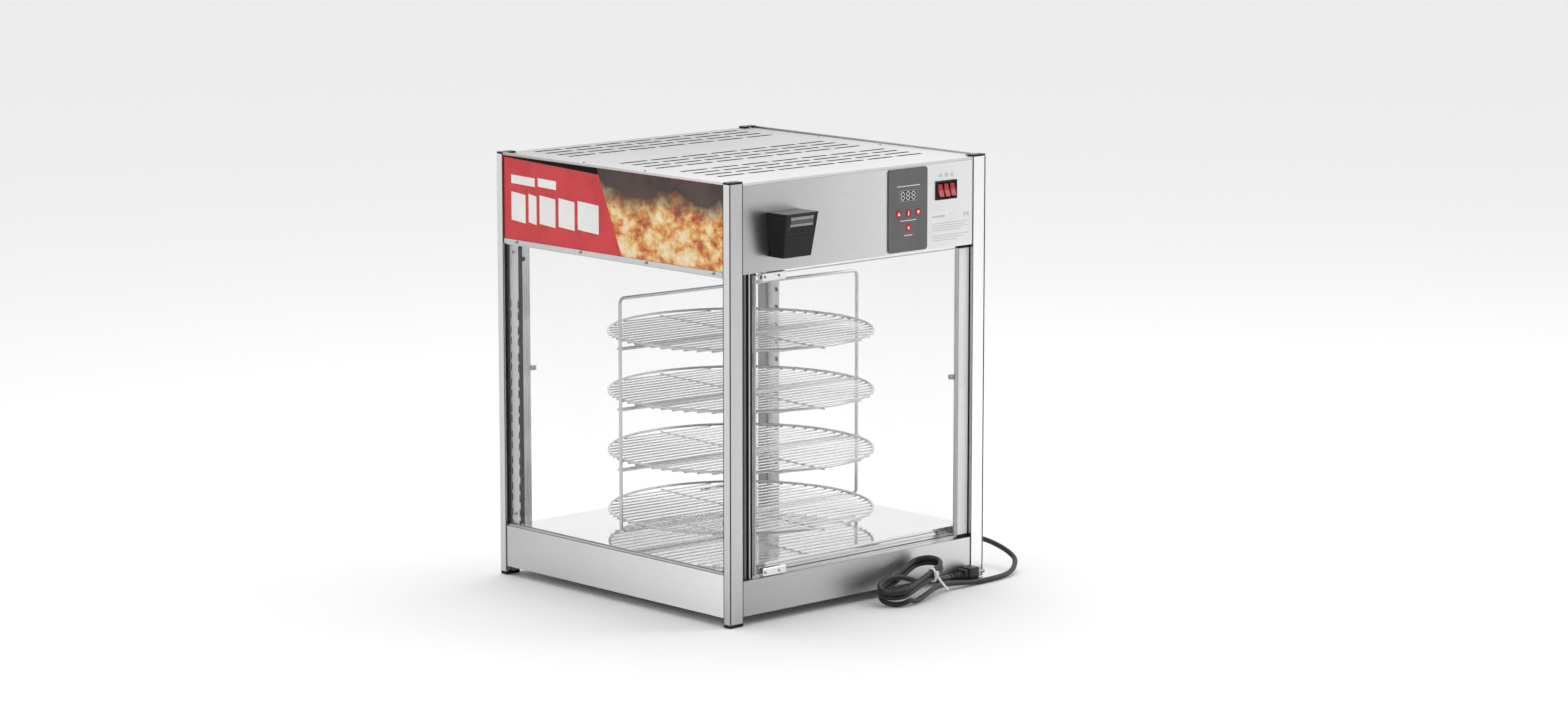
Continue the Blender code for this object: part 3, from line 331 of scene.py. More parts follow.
# The posts and the skirt: painted light and shade, with a different ramp on the faces across Y and across X.
POST = two_faced_painted_light("aluminium_post", (0.55, 0.97), (0.54, 0.74), "Z", (0.0, 0.7), 0.27, (500, 500, 1.5))
SKIRT = two_faced_painted_light("steel_skirt", (0.46, 0.76), (0.86, 0.50), "Y", (-0.25, 0.29), 0.40, (1.5, 1.5, 500))
PICTURE = picture_finish()
SIGN_RED = moulded("sign_red", (0.62, 0.022, 0.030), 0.28, 900.0, 0.02, 0.10)
PALE = moulded("sign_pale", (0.88, 0.86, 0.84), 0.32, 900.0, 0.02, 0.04)
# Also used for the catch jambs' white flats, which are painted light there.
LABEL_PAPER_AND_JAMB_LIGHT = moulded("label_paper_and_jamb_light", (0.93, 0.93, 0.93), 0.45, 900.0, 0.04, 0.03)
LABEL_RULE = moulded("label_rule", (0.60, 0.60, 0.61), 0.45, 900.0, 0.04, 0.05)
DIGIT = moulded("display_digit", (0.82, 0.83, 0.83), 0.35, 900.0, 0.02, 0.05)
STRIP_WHITE = moulded("strip_white", (0.80, 0.80, 0.80), 0.42, 800.0, 0.03, 0.03)
STRIP_LIGHT = moulded("strip_light", (0.62, 0.62, 0.625), 0.36, 800.0, 0.03, 0.06)
STRIP_GREY = moulded("strip_grey", (0.36, 0.36, 0.365), 0.40, 800.0, 0.03, 0.04)
SHADOW = moulded("slot_shadow", (0.010, 0.010, 0.010), 0.8, 600.0, 0.05, shine=0.05)
DISPLAY_GLASS = moulded("display_glass", (0.045, 0.045, 0.047), 0.18, 1500.0, 0.02, 0.05)
HOPPER_BAND = moulded("hopper_band", (0.30, 0.30, 0.305), 0.30, 700.0, 0.05)
HOPPER_DARK_BAND = moulded("hopper_dark_band", (0.085, 0.085, 0.088), 0.30, 700.0, 0.05)


# Shapes


def mesh_piece(name, make, finishes, body, smooth=None):
    """A mesh built by make(bmesh), with its materials, riding on a body."""
    mesh = bpy.data.meshes.new(name)
    shape = bmesh.new()
    make(shape)
    shape.to_mesh(mesh)
    shape.free()
    obj = bpy.data.objects.new(name, mesh)
    bpy.context.scene.collection.objects.link(obj)
    for finish in finishes if isinstance(finishes, list) else [finishes]:
        mesh.materials.append(finish)
    if smooth is not None:
        smooth_by_angle(obj, smooth)
    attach(obj, body)
    return obj


def smooth_by_angle(obj, degrees):
    mesh = obj.data
    mesh.polygons.foreach_set("use_smooth", [True] * len(mesh.polygons))
    mesh.update()
    limit = math.radians(degrees)
    shape = bmesh.new()
    shape.from_mesh(mesh)
    for edge in shape.edges:
        edge.smooth = edge.is_manifold and edge.calc_face_angle(0) < limit
    shape.to_mesh(mesh)
    shape.free()


def add_box(shape, low, high, finish, bevel):
    """A box between two row-frame corners, with rounded edges."""
    low, high = Vector(low), Vector(high)
    middle, size = (low + high) / 2, high - low
    matrix = Matrix.Translation(middle) @ Matrix.Diagonal((*(abs(side) for side in size), 1))
    made = bmesh.ops.create_cube(shape, size=1.0, matrix=matrix)["verts"]
    finish_faces(shape, made, finish)
    if bevel:
        edges = list({edge for vert in made for edge in vert.link_edges})
        cut = bmesh.ops.bevel(shape, geom=edges, offset=bevel, segments=2, affect="EDGES", profile=0.5)
        for face in cut["faces"]:
            face.material_index = finish


def finish_faces(shape, verts, finish):
    for face in {face for vert in verts for face in vert.link_faces}:
        face.material_index = finish


def add_rod(shape, start, end, radius, sides=16, finish=0, radius_end=None):
    """A closed rod between two points."""
    start, end = Vector(start), Vector(end)
    axis = end - start
    turn = axis.to_track_quat("Z", "Y").to_matrix().to_4x4()
    made = bmesh.ops.create_cone(
        shape, cap_ends=True, segments=sides, radius1=radius,
        radius2=radius if radius_end is None else radius_end, depth=axis.length,
        matrix=Matrix.Translation((start + end) / 2) @ turn,
    )["verts"]
    finish_faces(shape, made, finish)


def add_screw(shape, place, normal, radius, finish=0, recess_shade_finish=1):
    """A domed screw head with a cross recess, standing on a face; the recess is two dark bars, painted shade
    for its hollow.
    """
    place, normal = Vector(place), Vector(normal).normalized()
    turn = normal.to_track_quat("Z", "Y").to_matrix().to_4x4()
    here = Matrix.Translation(place) @ turn
    made = []
    rings = ((1.0, 0.0), (1.0, 0.22), (0.86, 0.44), (0.55, 0.60), (0.0, 0.66))
    sides = 14
    last = None
    for reach, rise in rings:
        if reach:
            ring = [shape.verts.new(here @ Vector((
                radius * reach * math.cos(2 * math.pi * i / sides),
                radius * reach * math.sin(2 * math.pi * i / sides), radius * rise))) for i in range(sides)]
            if last:
                for i in range(sides):
                    j = (i + 1) % sides
                    made.append(shape.faces.new((last[i], last[j], ring[j], ring[i])))
            else:
                made.append(shape.faces.new(list(reversed(ring))))
            last = ring
        else:
            tip = shape.verts.new(here @ Vector((0, 0, radius * rise)))
            for i in range(sides):
                made.append(shape.faces.new((last[i], last[(i + 1) % sides], tip)))
    for face in made:
        face.material_index = finish
    # The cross recess: two bars in the second finish, painted shade where the hollow is.
    for angle in (0, math.pi / 2):
        bar = Matrix.Rotation(angle, 4, "Z") @ Matrix.Translation((0, 0, radius * 0.58))
        sizes = Matrix.Diagonal((radius * 1.05, radius * 0.22, radius * 0.2, 1))
        cube = bmesh.ops.create_cube(shape, size=1.0, matrix=here @ bar @ sizes)["verts"]
        finish_faces(shape, cube, recess_shade_finish)


def add_lathe(shape, profile, matrix, sides):
    """A turned body: (radius, height) pairs from its bottom to its top, the first and last on the axis."""
    last = None
    for radius, height in profile:
        if radius > 1e-7:
            turns = [2 * math.pi * i / sides for i in range(sides)]
            ring = [shape.verts.new(matrix @ Vector((radius * math.cos(t), radius * math.sin(t), height)))
                    for t in turns]
        else:
            ring = [shape.verts.new(matrix @ Vector((0, 0, height)))]
        if last:
            for i in range(sides):
                j = (i + 1) % sides
                if len(last) == 1:
                    shape.faces.new((last[0], ring[j], ring[i]))
                elif len(ring) == 1:
                    shape.faces.new((last[i], last[j], ring[0]))
                else:
                    shape.faces.new((last[i], last[j], ring[j], ring[i]))
        last = ring


def add_tube(shape, points, radius, sides, closed=False):
    """A round tube along points, capped unless it is closed."""
    points = [Vector(p) for p in points]
    count = len(points)
    tangents = []
    for i, point in enumerate(points):
        before = points[i - 1] if i or closed else point
        after = points[(i + 1) % count] if i + 1 < count or closed else point
        tangents.append((after - before).normalized())
    side = tangents[0].orthogonal().normalized()
    rings = []
    for point, tangent in zip(points, tangents):
        side = (side - tangent * side.dot(tangent)).normalized()
        up = tangent.cross(side)
        rings.append([shape.verts.new(point + radius * (
            side * math.cos(2 * math.pi * k / sides) + up * math.sin(2 * math.pi * k / sides)))
            for k in range(sides)])
    for low, high in zip(rings, rings[1:]):
        for k in range(sides):
            j = (k + 1) % sides
            shape.faces.new((low[k], low[j], high[j], high[k]))
    first, last = rings[0], rings[-1]
    if closed:
        start = min(range(sides), key=lambda k: (first[k].co - last[0].co).length)
        for k in range(sides):
            j = (k + 1) % sides
            shape.faces.new((last[k], last[j], first[(start + j) % sides], first[(start + k) % sides]))
    else:
        shape.faces.new(list(reversed(first)))
        shape.faces.new(last)


def add_prism(shape, outline, normal, depth, finish=0):
    """A flat outline (row-frame points, counter-clockwise about the normal) given a depth along it."""
    normal = Vector(normal).normalized()
    low = [shape.verts.new(Vector(p)) for p in outline]
    high = [shape.verts.new(Vector(p) + normal * depth) for p in outline]
    faces = [shape.faces.new(list(reversed(low))), shape.faces.new(high)]
    for i in range(len(low)):
        j = (i + 1) % len(low)
        faces.append(shape.faces.new((low[i], low[j], high[j], high[i])))
    for face in faces:
        face.material_index = finish


def smooth_route(route, spacing):
    """Evenly spaced points on one smooth curve through the route's points (Catmull-Rom), and its length."""
    knots = [Vector(point) for point in route]
    ends = [2 * knots[0] - knots[1]] + knots + [2 * knots[-1] - knots[-2]]
    fine = []
    steps = 24
    for a, b, c, d in zip(ends, ends[1:], ends[2:], ends[3:]):
        for step in range(steps):
            t = step / steps
            fine.append(0.5 * (
                2 * b + (c - a) * t + (2 * a - 5 * b + 4 * c - d) * t ** 2
                + (3 * b - a - 3 * c + d) * t ** 3))
    fine.append(knots[-1])
    length = sum((q - p).length for p, q in zip(fine, fine[1:]))
    count = max(2, round(length / spacing))
    points, run, goal = [fine[0]], 0.0, length / count
    for p, q in zip(fine, fine[1:]):
        step = (q - p).length
        while run + step >= goal - 1e-9 and len(points) < count:
            points.append(p.lerp(q, (goal - run) / step))
            goal += length / count
        run += step
    return points + [fine[-1]], length


def slab(shape, x, y, z, finish=0, bevel=0.0):
    """A box from ranges in millimetres about the cabinet's axis."""
    add_box(shape, at(x[0], y[0], z[0]), at(x[1], y[1], z[1]), finish, bevel * MM)


def ordered(a, b):
    return (min(a, b), max(a, b))


def add_ring(shape, x, z, radii, sides, face, depth, finish=0):
    """A thin ring on the control side: a round of small prisms between two radii."""
    inner, outer = radii
    for i in range(sides):
        a, b = (2 * math.pi * (i + k) / sides for k in (0, 1))
        points = [at(x + r * math.cos(t), face, z + r * math.sin(t))
                  for r, t in ((inner, a), (outer, a), (outer, b), (inner, b))]
        add_prism(shape, points, (0, -1, 0), depth * MM, finish)


# The mains cord

CORD = 8.6 * MM
CORD_STEP = 4.5 * MM
HANK_CENTRE = Vector((74, -328, 34))
HANK_TURN = Euler((math.radians(4), math.radians(-16.5), math.radians(10))).to_matrix()
HANK_STRAIGHT = 42  # half the length of the hank's straight runs
HANK_FOLD = 25.9  # radius of a fold's centre line, just over three cord diameters
LEAD_ROUTE = (
    (314.9, -150.0, 50.0), (332.0, -151.0, 49.5), (349.0, -165.0, 47.0), (358.5, -190.0, 44.5),
    (361.5, -220.5, 41.5), (364.0, -244.0, 36.0), (366.5, -264.0, 28.5), (364.0, -282.0, 20.0),
    (350.0, -296.0, 12.5), (329.0, -308.0, 7.0), (303.0, -316.0, 4.9), (274.0, -319.5, 4.6),
    (246.0, -320.5, 4.8), (218.0, -320.5, 6.5), (190.0, -320.5, 9.5), (162.0, -321.5, 12.0),
    (134.0, -327.5, 12.0), (106.0, -338.0, 9.0), (80.0, -348.5, 6.6), (58.0, -356.0, 5.4),
)
TAIL_ROUTE = (
    (106.0, -316.5, 22.8), (120.0, -312.0, 20.0), (138.0, -306.5, 16.8), (156.0, -302.5, 15.0),
    (174.0, -300.6, 14.4), (192.9, -300.2, 14.2),
)


def hank_point(along, across, lift):
    """A point in the hank's own leaning frame: along its runs, across them, and off their plane."""
    return HANK_CENTRE + HANK_TURN @ Vector((along, across, lift))


def fold(end, first_lift, last_lift, steps=7):
    """A half circle round one end of the hank (-1 the low one), climbing from one lift to another."""
    points = []
    for step in range(steps + 1):
        part = step / steps
        angle = math.pi * part
        along = end * (HANK_STRAIGHT + HANK_FOLD * math.sin(angle))
        across = end * HANK_FOLD * math.cos(angle)
        points.append(hank_point(along, across, first_lift + (last_lift - first_lift) * part))
    return points


def run(end, first_lift, last_lift):
    """The straight stretch that leads away from one end to the other, on that end's leaving side."""
    points = []
    for part in (1 / 3, 2 / 3):
        along = end * HANK_STRAIGHT * (1 - 2 * part)
        points.append(hank_point(along, -end * HANK_FOLD, first_lift + (last_lift - first_lift) * part))
    return points


def cord_turns():
    """Two turns and a half, each lying on the one before, then down through the middle to the plug."""
    turns = fold(-1, -12.4, -7.6) + run(-1, -7.6, -4.5)
    turns += fold(1, -4.5, -2.5) + run(1, -2.5, 0.5)
    turns += fold(-1, 0.5, 1.5) + run(-1, 1.5, 4.5)
    turns += fold(1, 4.5, 6.5) + run(1, 6.5, 9.0)
    turns += fold(-1, 9.0, 9.5)
    turns += [hank_point(-25, 22.5, 9.0), hank_point(-8, 16.5, 4.5), hank_point(9, 10.5, -6.5)]
    return turns


PLUG_Y, PLUG_Z = -300.2, 14.2  # the plug's centre line
RELIEF_START = 193.6
RELIEF_RIBS = 6
BLADE_START, BLADE_SPREAD = 249, 6.35
EARTH_DROP = 8.5  # the round pin lies this much below the centre line


def relief_profile():
    """The tapering relief: ribs that widen one by one towards the plug, then a plain collar."""
    profile = [(0, 0), (0.0054, 0)]
    for i in range(RELIEF_RIBS):
        base, radius = 0.0022 + 0.004 * i, 0.0056 + 0.0004 * i
        groove = radius - 0.0012
        profile += [(radius, base), (radius, base + 0.0022), (groove, base + 0.0026), (groove, base + 0.0037)]
    return profile + [(0.0088, 0.027), (0.0088, 0.031), (0, 0.031)]


def plug():
    """A moulded plug: a body with stepped shoulders and a ribbed relief, two flat blades and a round pin."""
    def make(shape):
        slab(shape, (226.5, 250.0), (-312.8, -287.7), (0.9, 27.3), 0, 3.2)
        slab(shape, (218.6, 232.0), (-309.6, -290.8), (3.6, 24.6), 0, 2.6)
        turn = Matrix.Translation(at(RELIEF_START, PLUG_Y, PLUG_Z)) @ Matrix.Rotation(math.pi / 2, 4, "Y")
        add_lathe(shape, relief_profile(), turn, 24)
        for side in (-1, 1):
            y = PLUG_Y + side * BLADE_SPREAD
            slab(shape, (BLADE_START, 267.3), (y - 0.75, y + 0.75), (PLUG_Z - 0.4, PLUG_Z + 5.9), 1, 0.25)
        pin = [at(x, PLUG_Y, PLUG_Z - EARTH_DROP) for x in (BLADE_START, 267.5, 269.6)]
        add_rod(shape, pin[0], pin[1], 2.35 * MM, 16, 1)
        add_rod(shape, pin[1], pin[2], 2.35 * MM, 16, 1, 1.2 * MM)

    made = mesh_piece("mains_plug", make, [RUBBER, NICKEL], "case", 35)
    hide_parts("plug")


TIE_ALONG, TIE_ACROSS = 26, -HANK_FOLD  # the tie's middle, in the hank's own frame
STRAP_HALF_WIDTH, STRAP_THICKNESS = 2.2, 1.2
STRAP_ACROSS, STRAP_LIFT = 5.4, 11.2  # the loop's half sizes across the runs and off their plane
STRAP_STEPS = 40
TIE_END_STEPS = 12


def add_tie_strap(shape):
    """The strap's loop, a rounded oblong round the runs."""
    rings = []
    for i in range(STRAP_STEPS):
        angle = 2 * math.pi * i / STRAP_STEPS
        c, s = math.cos(angle), math.sin(angle)
        v = STRAP_ACROSS * math.copysign(abs(c) ** 0.55, c)
        w = STRAP_LIFT * math.copysign(abs(s) ** 0.7, s)
        out = Vector((v, w)).normalized()
        ring = []
        for u, depth in ((-1, 0), (1, 0), (1, STRAP_THICKNESS), (-1, STRAP_THICKNESS)):
            ring.append(shape.verts.new(at(*hank_point(
                TIE_ALONG + u * STRAP_HALF_WIDTH, TIE_ACROSS + v + out.x * depth, 0.8 + w + out.y * depth))))
        rings.append(ring)
    for a, b in zip(rings, rings[1:] + rings[:1]):
        for k in range(4):
            j = (k + 1) % 4
            shape.faces.new((a[k], b[k], b[j], a[j]))


def add_tie_head(shape):
    """The tie's square head, in front of the runs."""
    corners = [hank_point(TIE_ALONG + u, TIE_ACROSS + v, w)
               for u in (-3.6, 3.6) for v in (-10.8, -6.2) for w in (1.5, 8.2)]
    head = bmesh.ops.create_cube(shape, size=1.0)["verts"]
    for vert, corner in zip(sorted(head, key=lambda q: (q.co.x, q.co.y, q.co.z)), corners):
        vert.co = at(*corner)


def add_tie_end(shape):
    """The strap's long end, hanging out of the head and curling as it falls."""
    side = HANK_TURN @ Vector((1.9, 0, 0))
    out = HANK_TURN @ Vector((0.1, -0.6, 0.1))
    last = None
    for i in range(TIE_END_STEPS + 1):
        part = i / TIE_END_STEPS
        across = TIE_ACROSS - 8.6 - 9 * math.sin(1.9 * part)
        place = hank_point(TIE_ALONG + 16 * part ** 2, across, 3.0 - 34 * part)
        ring = [shape.verts.new(at(*(place + a * side + b * out)))
                for a, b in ((-1, -1), (1, -1), (1, 1), (-1, 1))]
        if last:
            for k in range(4):
                j = (k + 1) % 4
                shape.faces.new((last[k], last[j], ring[j], ring[k]))
        else:
            shape.faces.new(list(reversed(ring)))
        last = ring
    shape.faces.new(last)


def tie():
    """A nylon tie drawn round the hank's near runs, its head in front and its long end left hanging."""
    def make(shape):
        add_tie_strap(shape)
        add_tie_head(shape)
        add_tie_end(shape)
        bmesh.ops.recalc_face_normals(shape, faces=shape.faces)

    made = mesh_piece("nylon_tie", make, NYLON, "case")
    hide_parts("cable_tie")


def mains_cord():
    """The whole cord as one tube: the lead, the hank's turns and the tail."""
    route = [at(*p) for p in (*LEAD_ROUTE, *cord_turns(), *TAIL_ROUTE)]
    points, length = smooth_route(route, CORD_STEP)

    def make(shape):
        add_tube(shape, points, CORD / 2, 16)

    cord = mesh_piece("mains_cord", make, RUBBER, "case", 60)
    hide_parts("cord_lead", "cord_hank", "cord_tail")


plug()
tie()
mains_cord()


# Carried-over nodes


def dress(finish, *names):
    """Gives CAD nodes one finish of this script in place of their own."""
    for name in names:
        node = NODES[name]
        node.data.materials.clear()
        node.data.materials.append(finish)


def dress_nodes():
    corners = ("front_left", "front_right", "rear_left", "rear_right")
    dress(POST, *("post_" + corner for corner in corners))
    dress(BLACK, *("post_cap_" + corner for corner in corners), *("foot_" + corner for corner in corners))
    dress(ROOF, "roof_panel")
    dress(PANEL, "control_panel", "rear_panel")
    dress(SKIRT, "base_tray")
    dress(STEEL_Y, "chamber_ceiling", "water_pan", "fan_wheel")
    dress(SIGN_RED, "sign_left", "sign_right")
    dress(MIRROR, "chamber_floor")
    dress(MIRROR, *(f"door_{door}_clamp_{end}" for door in ("front", "rear") for end in ("top", "bottom")))
    dress(NICKEL, "drive_hub", "heater", "door_front_catch", "door_rear_catch")
    dress(CLEAR, "side_glass_left", "side_glass_right", "door_front_glass", "door_rear_glass")
    dress(STRIP_LIGHT, "lamp_strip_left")
    dress(STRIP_GREY, "lamp_strip_right")
    dress(BLACK, "switch_frame", "hopper")
    dress(BLACK_GLOSS, "hopper_lid")
    dress(FILM, "controller")
    dress(RED, *("button_" + key for key in ("up", "set", "down", "lamp")))
    dress(RED, *("rocker_" + switch for switch in ("heat", "lamp", "turn")))
    dress(MOTOR_PAINT_AND_JAMB_SHADE, "fan_motor", "gearmotor")
    dress(RUBBER, "cord_gland")


dress_nodes()


# Racks

RACK_RADIUS = 220
RACK_WIRES_A_SIDE, RACK_WIRE_PITCH = 10, 20
RIM_WIRE, GRID_WIRE, CROSS_BAR, LOOP_WIRE = 2.3 * MM, 1.45 * MM, 2.0 * MM, 3.0 * MM  # radii
LOOP_HALF, LOOP_LOW, LOOP_HIGH, LOOP_CORNER = 250, 108, 492, 9
RACK_ANGLE = math.radians(-4)
TIERS = (116.8, 216.8, 316.8, 416.8)
TURNED = Matrix.Translation((0, SHIFT_Y, 0)) @ Matrix.Rotation(RACK_ANGLE, 4, "Z") @ Matrix.Scale(MM, 4)


def rack(number, level):
    """A round rack: a rim, a grid of parallel wires under it and one cross wire under them."""
    def place(x, y, drop):
        return TURNED @ Vector((x, y, level - drop))

    def make(shape):
        turns = [math.radians(5 * i) for i in range(72)]
        add_tube(shape, [place(RACK_RADIUS * math.cos(t), RACK_RADIUS * math.sin(t), 0) for t in turns],
                 RIM_WIRE, 10, closed=True)
        for i in range(-RACK_WIRES_A_SIDE, RACK_WIRES_A_SIDE + 1):
            y = RACK_WIRE_PITCH * i
            reach = math.sqrt(RACK_RADIUS ** 2 - y ** 2) + 1.0
            add_rod(shape, place(-reach, y, 3.4), place(reach, y, 3.4), GRID_WIRE, 8)
        add_rod(shape, place(0, 1 - RACK_RADIUS, 4.6), place(0, RACK_RADIUS - 1, 4.6), GRID_WIRE, 8)

    made = mesh_piece(f"rack_wires_{number}", make, CHROME, "turntable", 50)
    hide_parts(f"rack_{number}")


def loop_frame():
    """The upright wire loop that carries the racks, and the paired cross bars under the upper three."""
    left, right = LOOP_CORNER - LOOP_HALF, LOOP_HALF - LOOP_CORNER
    low, high = LOOP_LOW + LOOP_CORNER, LOOP_HIGH - LOOP_CORNER

    def make(shape):
        points = []
        for x, z, start in ((right, high, 0), (left, high, 90), (left, low, 180), (right, low, 270)):
            for step in range(9):
                angle = math.radians(start + 11.25 * step)
                points.append(TURNED @ Vector((
                    x + LOOP_CORNER * math.cos(angle), 0, z + LOOP_CORNER * math.sin(angle))))
        add_tube(shape, points, LOOP_WIRE, 12, closed=True)
        for level in TIERS[1:]:
            for side in (-4.7, 4.7):
                ends = [TURNED @ Vector((x, side, level - 8)) for x in (-LOOP_HALF - 2, LOOP_HALF + 2)]
                add_rod(shape, *ends, CROSS_BAR, 10)

    made = mesh_piece("rack_loop", make, CHROME, "turntable", 50)
    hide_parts("rack_frame")


for number, level in enumerate(TIERS, 1):
    rack(number, level)
loop_frame()


# Posts, jambs and seals

WALL = 285  # half of the square cabinet's side, to the posts' outer faces
JAMB = (72.9, 562.6)
JAMB_DEPTH = 12  # how far the jambs' floors lie behind the posts' faces
LOW_PANE, HIGH_PANE = 85.0, 560.0
DOOR_MIDDLE = 278.5  # the middle of a door's glass
POST_LINE = (5.6, 707.4)


def post_lines():
    """Thin black lines laid down each post: at its outer corner and where the panels meet it."""
    def make(shape):
        for side_x in (-1, 1):
            for side_y in (-1, 1):
                y = ordered(side_y * WALL, side_y * (WALL + 0.18))
                for near, far in ((0.5, 2.7), (27.6, 28.9)):
                    slab(shape, ordered(side_x * (WALL - near), side_x * (WALL - far)), y, POST_LINE)
                x = ordered(side_x * WALL, side_x * (WALL + 0.18))
                slab(shape, x, ordered(side_y * (WALL - 13.6), side_y * (WALL - 14.8)), POST_LINE)

    mesh_piece("post_black_lines", make, SEAL, "case")


def add_jamb_bands(shape, side, post_side, bands):
    """Upright bands side by side: each from outer to inner along the wall, standing proud of the jamb."""
    for outer, inner, proud, finish in bands:
        y = ordered(side * (WALL - JAMB_DEPTH), side * (WALL - JAMB_DEPTH + proud))
        slab(shape, ordered(post_side * outer, post_side * inner), y, JAMB, finish, 0.25)


def hinge_jambs():
    """The jamb on each door's hinged side: narrow bands, dark beside the post and light by the door, painting
    the light and shade of the jamb's channel.
    """
    # Bands as (outer, inner, proud, finish). Finish 0, white, is painted highlight on the channel. Finish 1,
    # black, is partly its seals and partly painted shade in its gaps. Finishes 2 and 3, dark and grey, are
    # painted shade on its walls.
    bands = ((256.0, 252.0, 8.0, 1), (251.8, 246.6, 5.0, 2), (246.4, 241.2, 3.0, 3), (241.0, 238.6, 6.5, 1),
             (238.4, 233.8, 4.5, 0), (233.6, 231.2, 6.0, 1), (231.0, 228.2, 3.5, 0))

    def make(shape):
        for side in (-1, 1):
            add_jamb_bands(shape, side, side, bands)

    mesh_piece("jamb_bands", make, [STRIP_WHITE, SEAL, MOTOR_PAINT_AND_JAMB_SHADE, STRIP_GREY], "case")


def catch_jambs():
    """The jamb on each door's free side: a white flat between a black and a grey seal, with black ends. The
    flat's plain white is painted light, standing in for its metal's bright reflection and lifting it out of
    the recess's shade.
    """
    # Finish 0, the flat: painted light, plain white in place of its metal.
    bands = ((256.0, 254.8, 6.4, 1), (254.6, 231.4, 5.0, 0), (231.2, 229.8, 5.4, 2))
    end_pieces = ((JAMB[0], JAMB[0] + 4.6), (JAMB[1] - 4.6, JAMB[1]))

    def make(shape):
        for side in (-1, 1):
            add_jamb_bands(shape, side, -side, bands)
            for heights in end_pieces:
                y = ordered(side * (WALL - JAMB_DEPTH), side * (WALL - 5.4))
                slab(shape, ordered(-side * 254.0, -side * 228.4), y, heights, 1, 0.3)

    mesh_piece("jamb_flats", make, [LABEL_PAPER_AND_JAMB_LIGHT, SEAL, STRIP_GREY], "case")


def glass_seals():
    """Black seals where each side pane meets its posts, and light trims along its foot and its head."""
    def make(shape):
        for side in (-1, 1):
            for end in (-1, 1):
                slab(shape, ordered(side * 274.4, side * 281.0), ordered(end * 269.6, end * 268.0),
                     (LOW_PANE, HIGH_PANE), 0, 0.2)
            for heights in ((84.2, 86.2), (558.4, 560.2)):
                slab(shape, ordered(side * 276.4, side * 281.2), (-268, 268), heights, 1, 0.3)

    mesh_piece("pane_seals", make, [SEAL, STRIP_LIGHT], "case")


def door_edges(name, side, body):
    """The ground edges of a door's glass, which look paler and greener than its faces."""
    def make(shape):
        y = ordered(side * (DOOR_MIDDLE - 2.62), side * (DOOR_MIDDLE + 2.62))
        for end in (-1, 1):
            slab(shape, ordered(end * 225.2, end * 226.75), y, (75.9, 559.1), 0, 0.3)
        slab(shape, (-225.2, 225.2), y, (558.2, 559.25), 0, 0.2)
        slab(shape, (-225.2, 225.2), y, (75.75, 76.8), 0, 0.2)

    mesh_piece(name, make, EDGE, body)


post_lines()
hinge_jambs()
catch_jambs()
glass_seals()
door_edges("front_door_edges", -1, "front_door")
door_edges("rear_door_edges", 1, "rear_door")


# Signs

SIGN_FACE = 282.6
SIGN_HALF = 268
SIGN_LOW, SIGN_HIGH = 568.6, 705.6
SPLIT_HIGH, SPLIT_LOW = 30, -26  # the slanted end of the red field, near the sign's top and at its foot
SMALL_BARS = ((250, 60), (182, 46))  # (start, width) of the plain bars in the upper row
LARGE_BARS = ((250, 36), (206, 20), (178, 40), (130, 40), (82, 52))
RAIL_FACE, RAIL_LEVEL = 284.9, 564.6


def add_print(shape, side, outline, lift, finish):
    """A flat printed shape on a sign: (y, z) points as seen from outside the near sign."""
    x = side * SIGN_FACE
    points = [at(x, y, z) for y, z in (outline if side < 0 else [(-y, z) for y, z in outline])]
    area = sum(a.y * b.z - b.y * a.z for a, b in zip(points, points[1:] + points[:1]))
    if area * side < 0:
        points.reverse()
    add_prism(shape, points, (side, 0, 0), lift * MM, finish)


def sign_print(name, side):
    """A red field with plain pale bars, a thin dark wedge over its top that is painted shadow under the
    roof's lip, and a warm abstract half.
    """
    def make(shape):
        add_print(shape, side, ((SIGN_HALF, SIGN_LOW), (-SIGN_HALF, SIGN_LOW), (-SIGN_HALF, SIGN_HIGH),
                                (SIGN_HALF, SIGN_HIGH)), 0.10, 1)
        # Painted shadow: a thin dark wedge along the top of the red field, where the roof's lip shades it.
        add_print(shape, side, ((SIGN_HALF, SIGN_HIGH), (SIGN_HALF, SIGN_HIGH - 1.5), (31, 696),
                                (34, SIGN_HIGH)), 0.22, 3)
        add_print(shape, side, ((SIGN_HALF, SIGN_LOW), (SIGN_HALF, SIGN_HIGH - 2), (SPLIT_HIGH, 695),
                                (SPLIT_LOW, SIGN_LOW)), 0.20, 0)
        for bars, low, high, fall in ((SMALL_BARS, 662, 676, 1.5), (LARGE_BARS, 601, 648, 3)):
            for start, width in bars:
                end = start - width
                add_print(shape, side, ((start, low), (start, high), (end, high - fall), (end, low - fall)),
                          0.30, 2)

    mesh_piece(name, make, [SIGN_RED, PICTURE, PALE, SHADOW], "case")


def sign_rail_screws():
    """Four screws along the rail under each sign."""
    def make(shape):
        for side in (-1, 1):
            for y in (236, 75, -87, -247):
                add_screw(shape, at(side * RAIL_FACE, y, RAIL_LEVEL), (side, 0, 0), 2.5 * MM)

    mesh_piece("sign_rail_screws", make, [NICKEL, SHADOW], "case", 50)


sign_print("sign_print_left", -1)
sign_print("sign_print_right", 1)
sign_rail_screws()


# Control panel

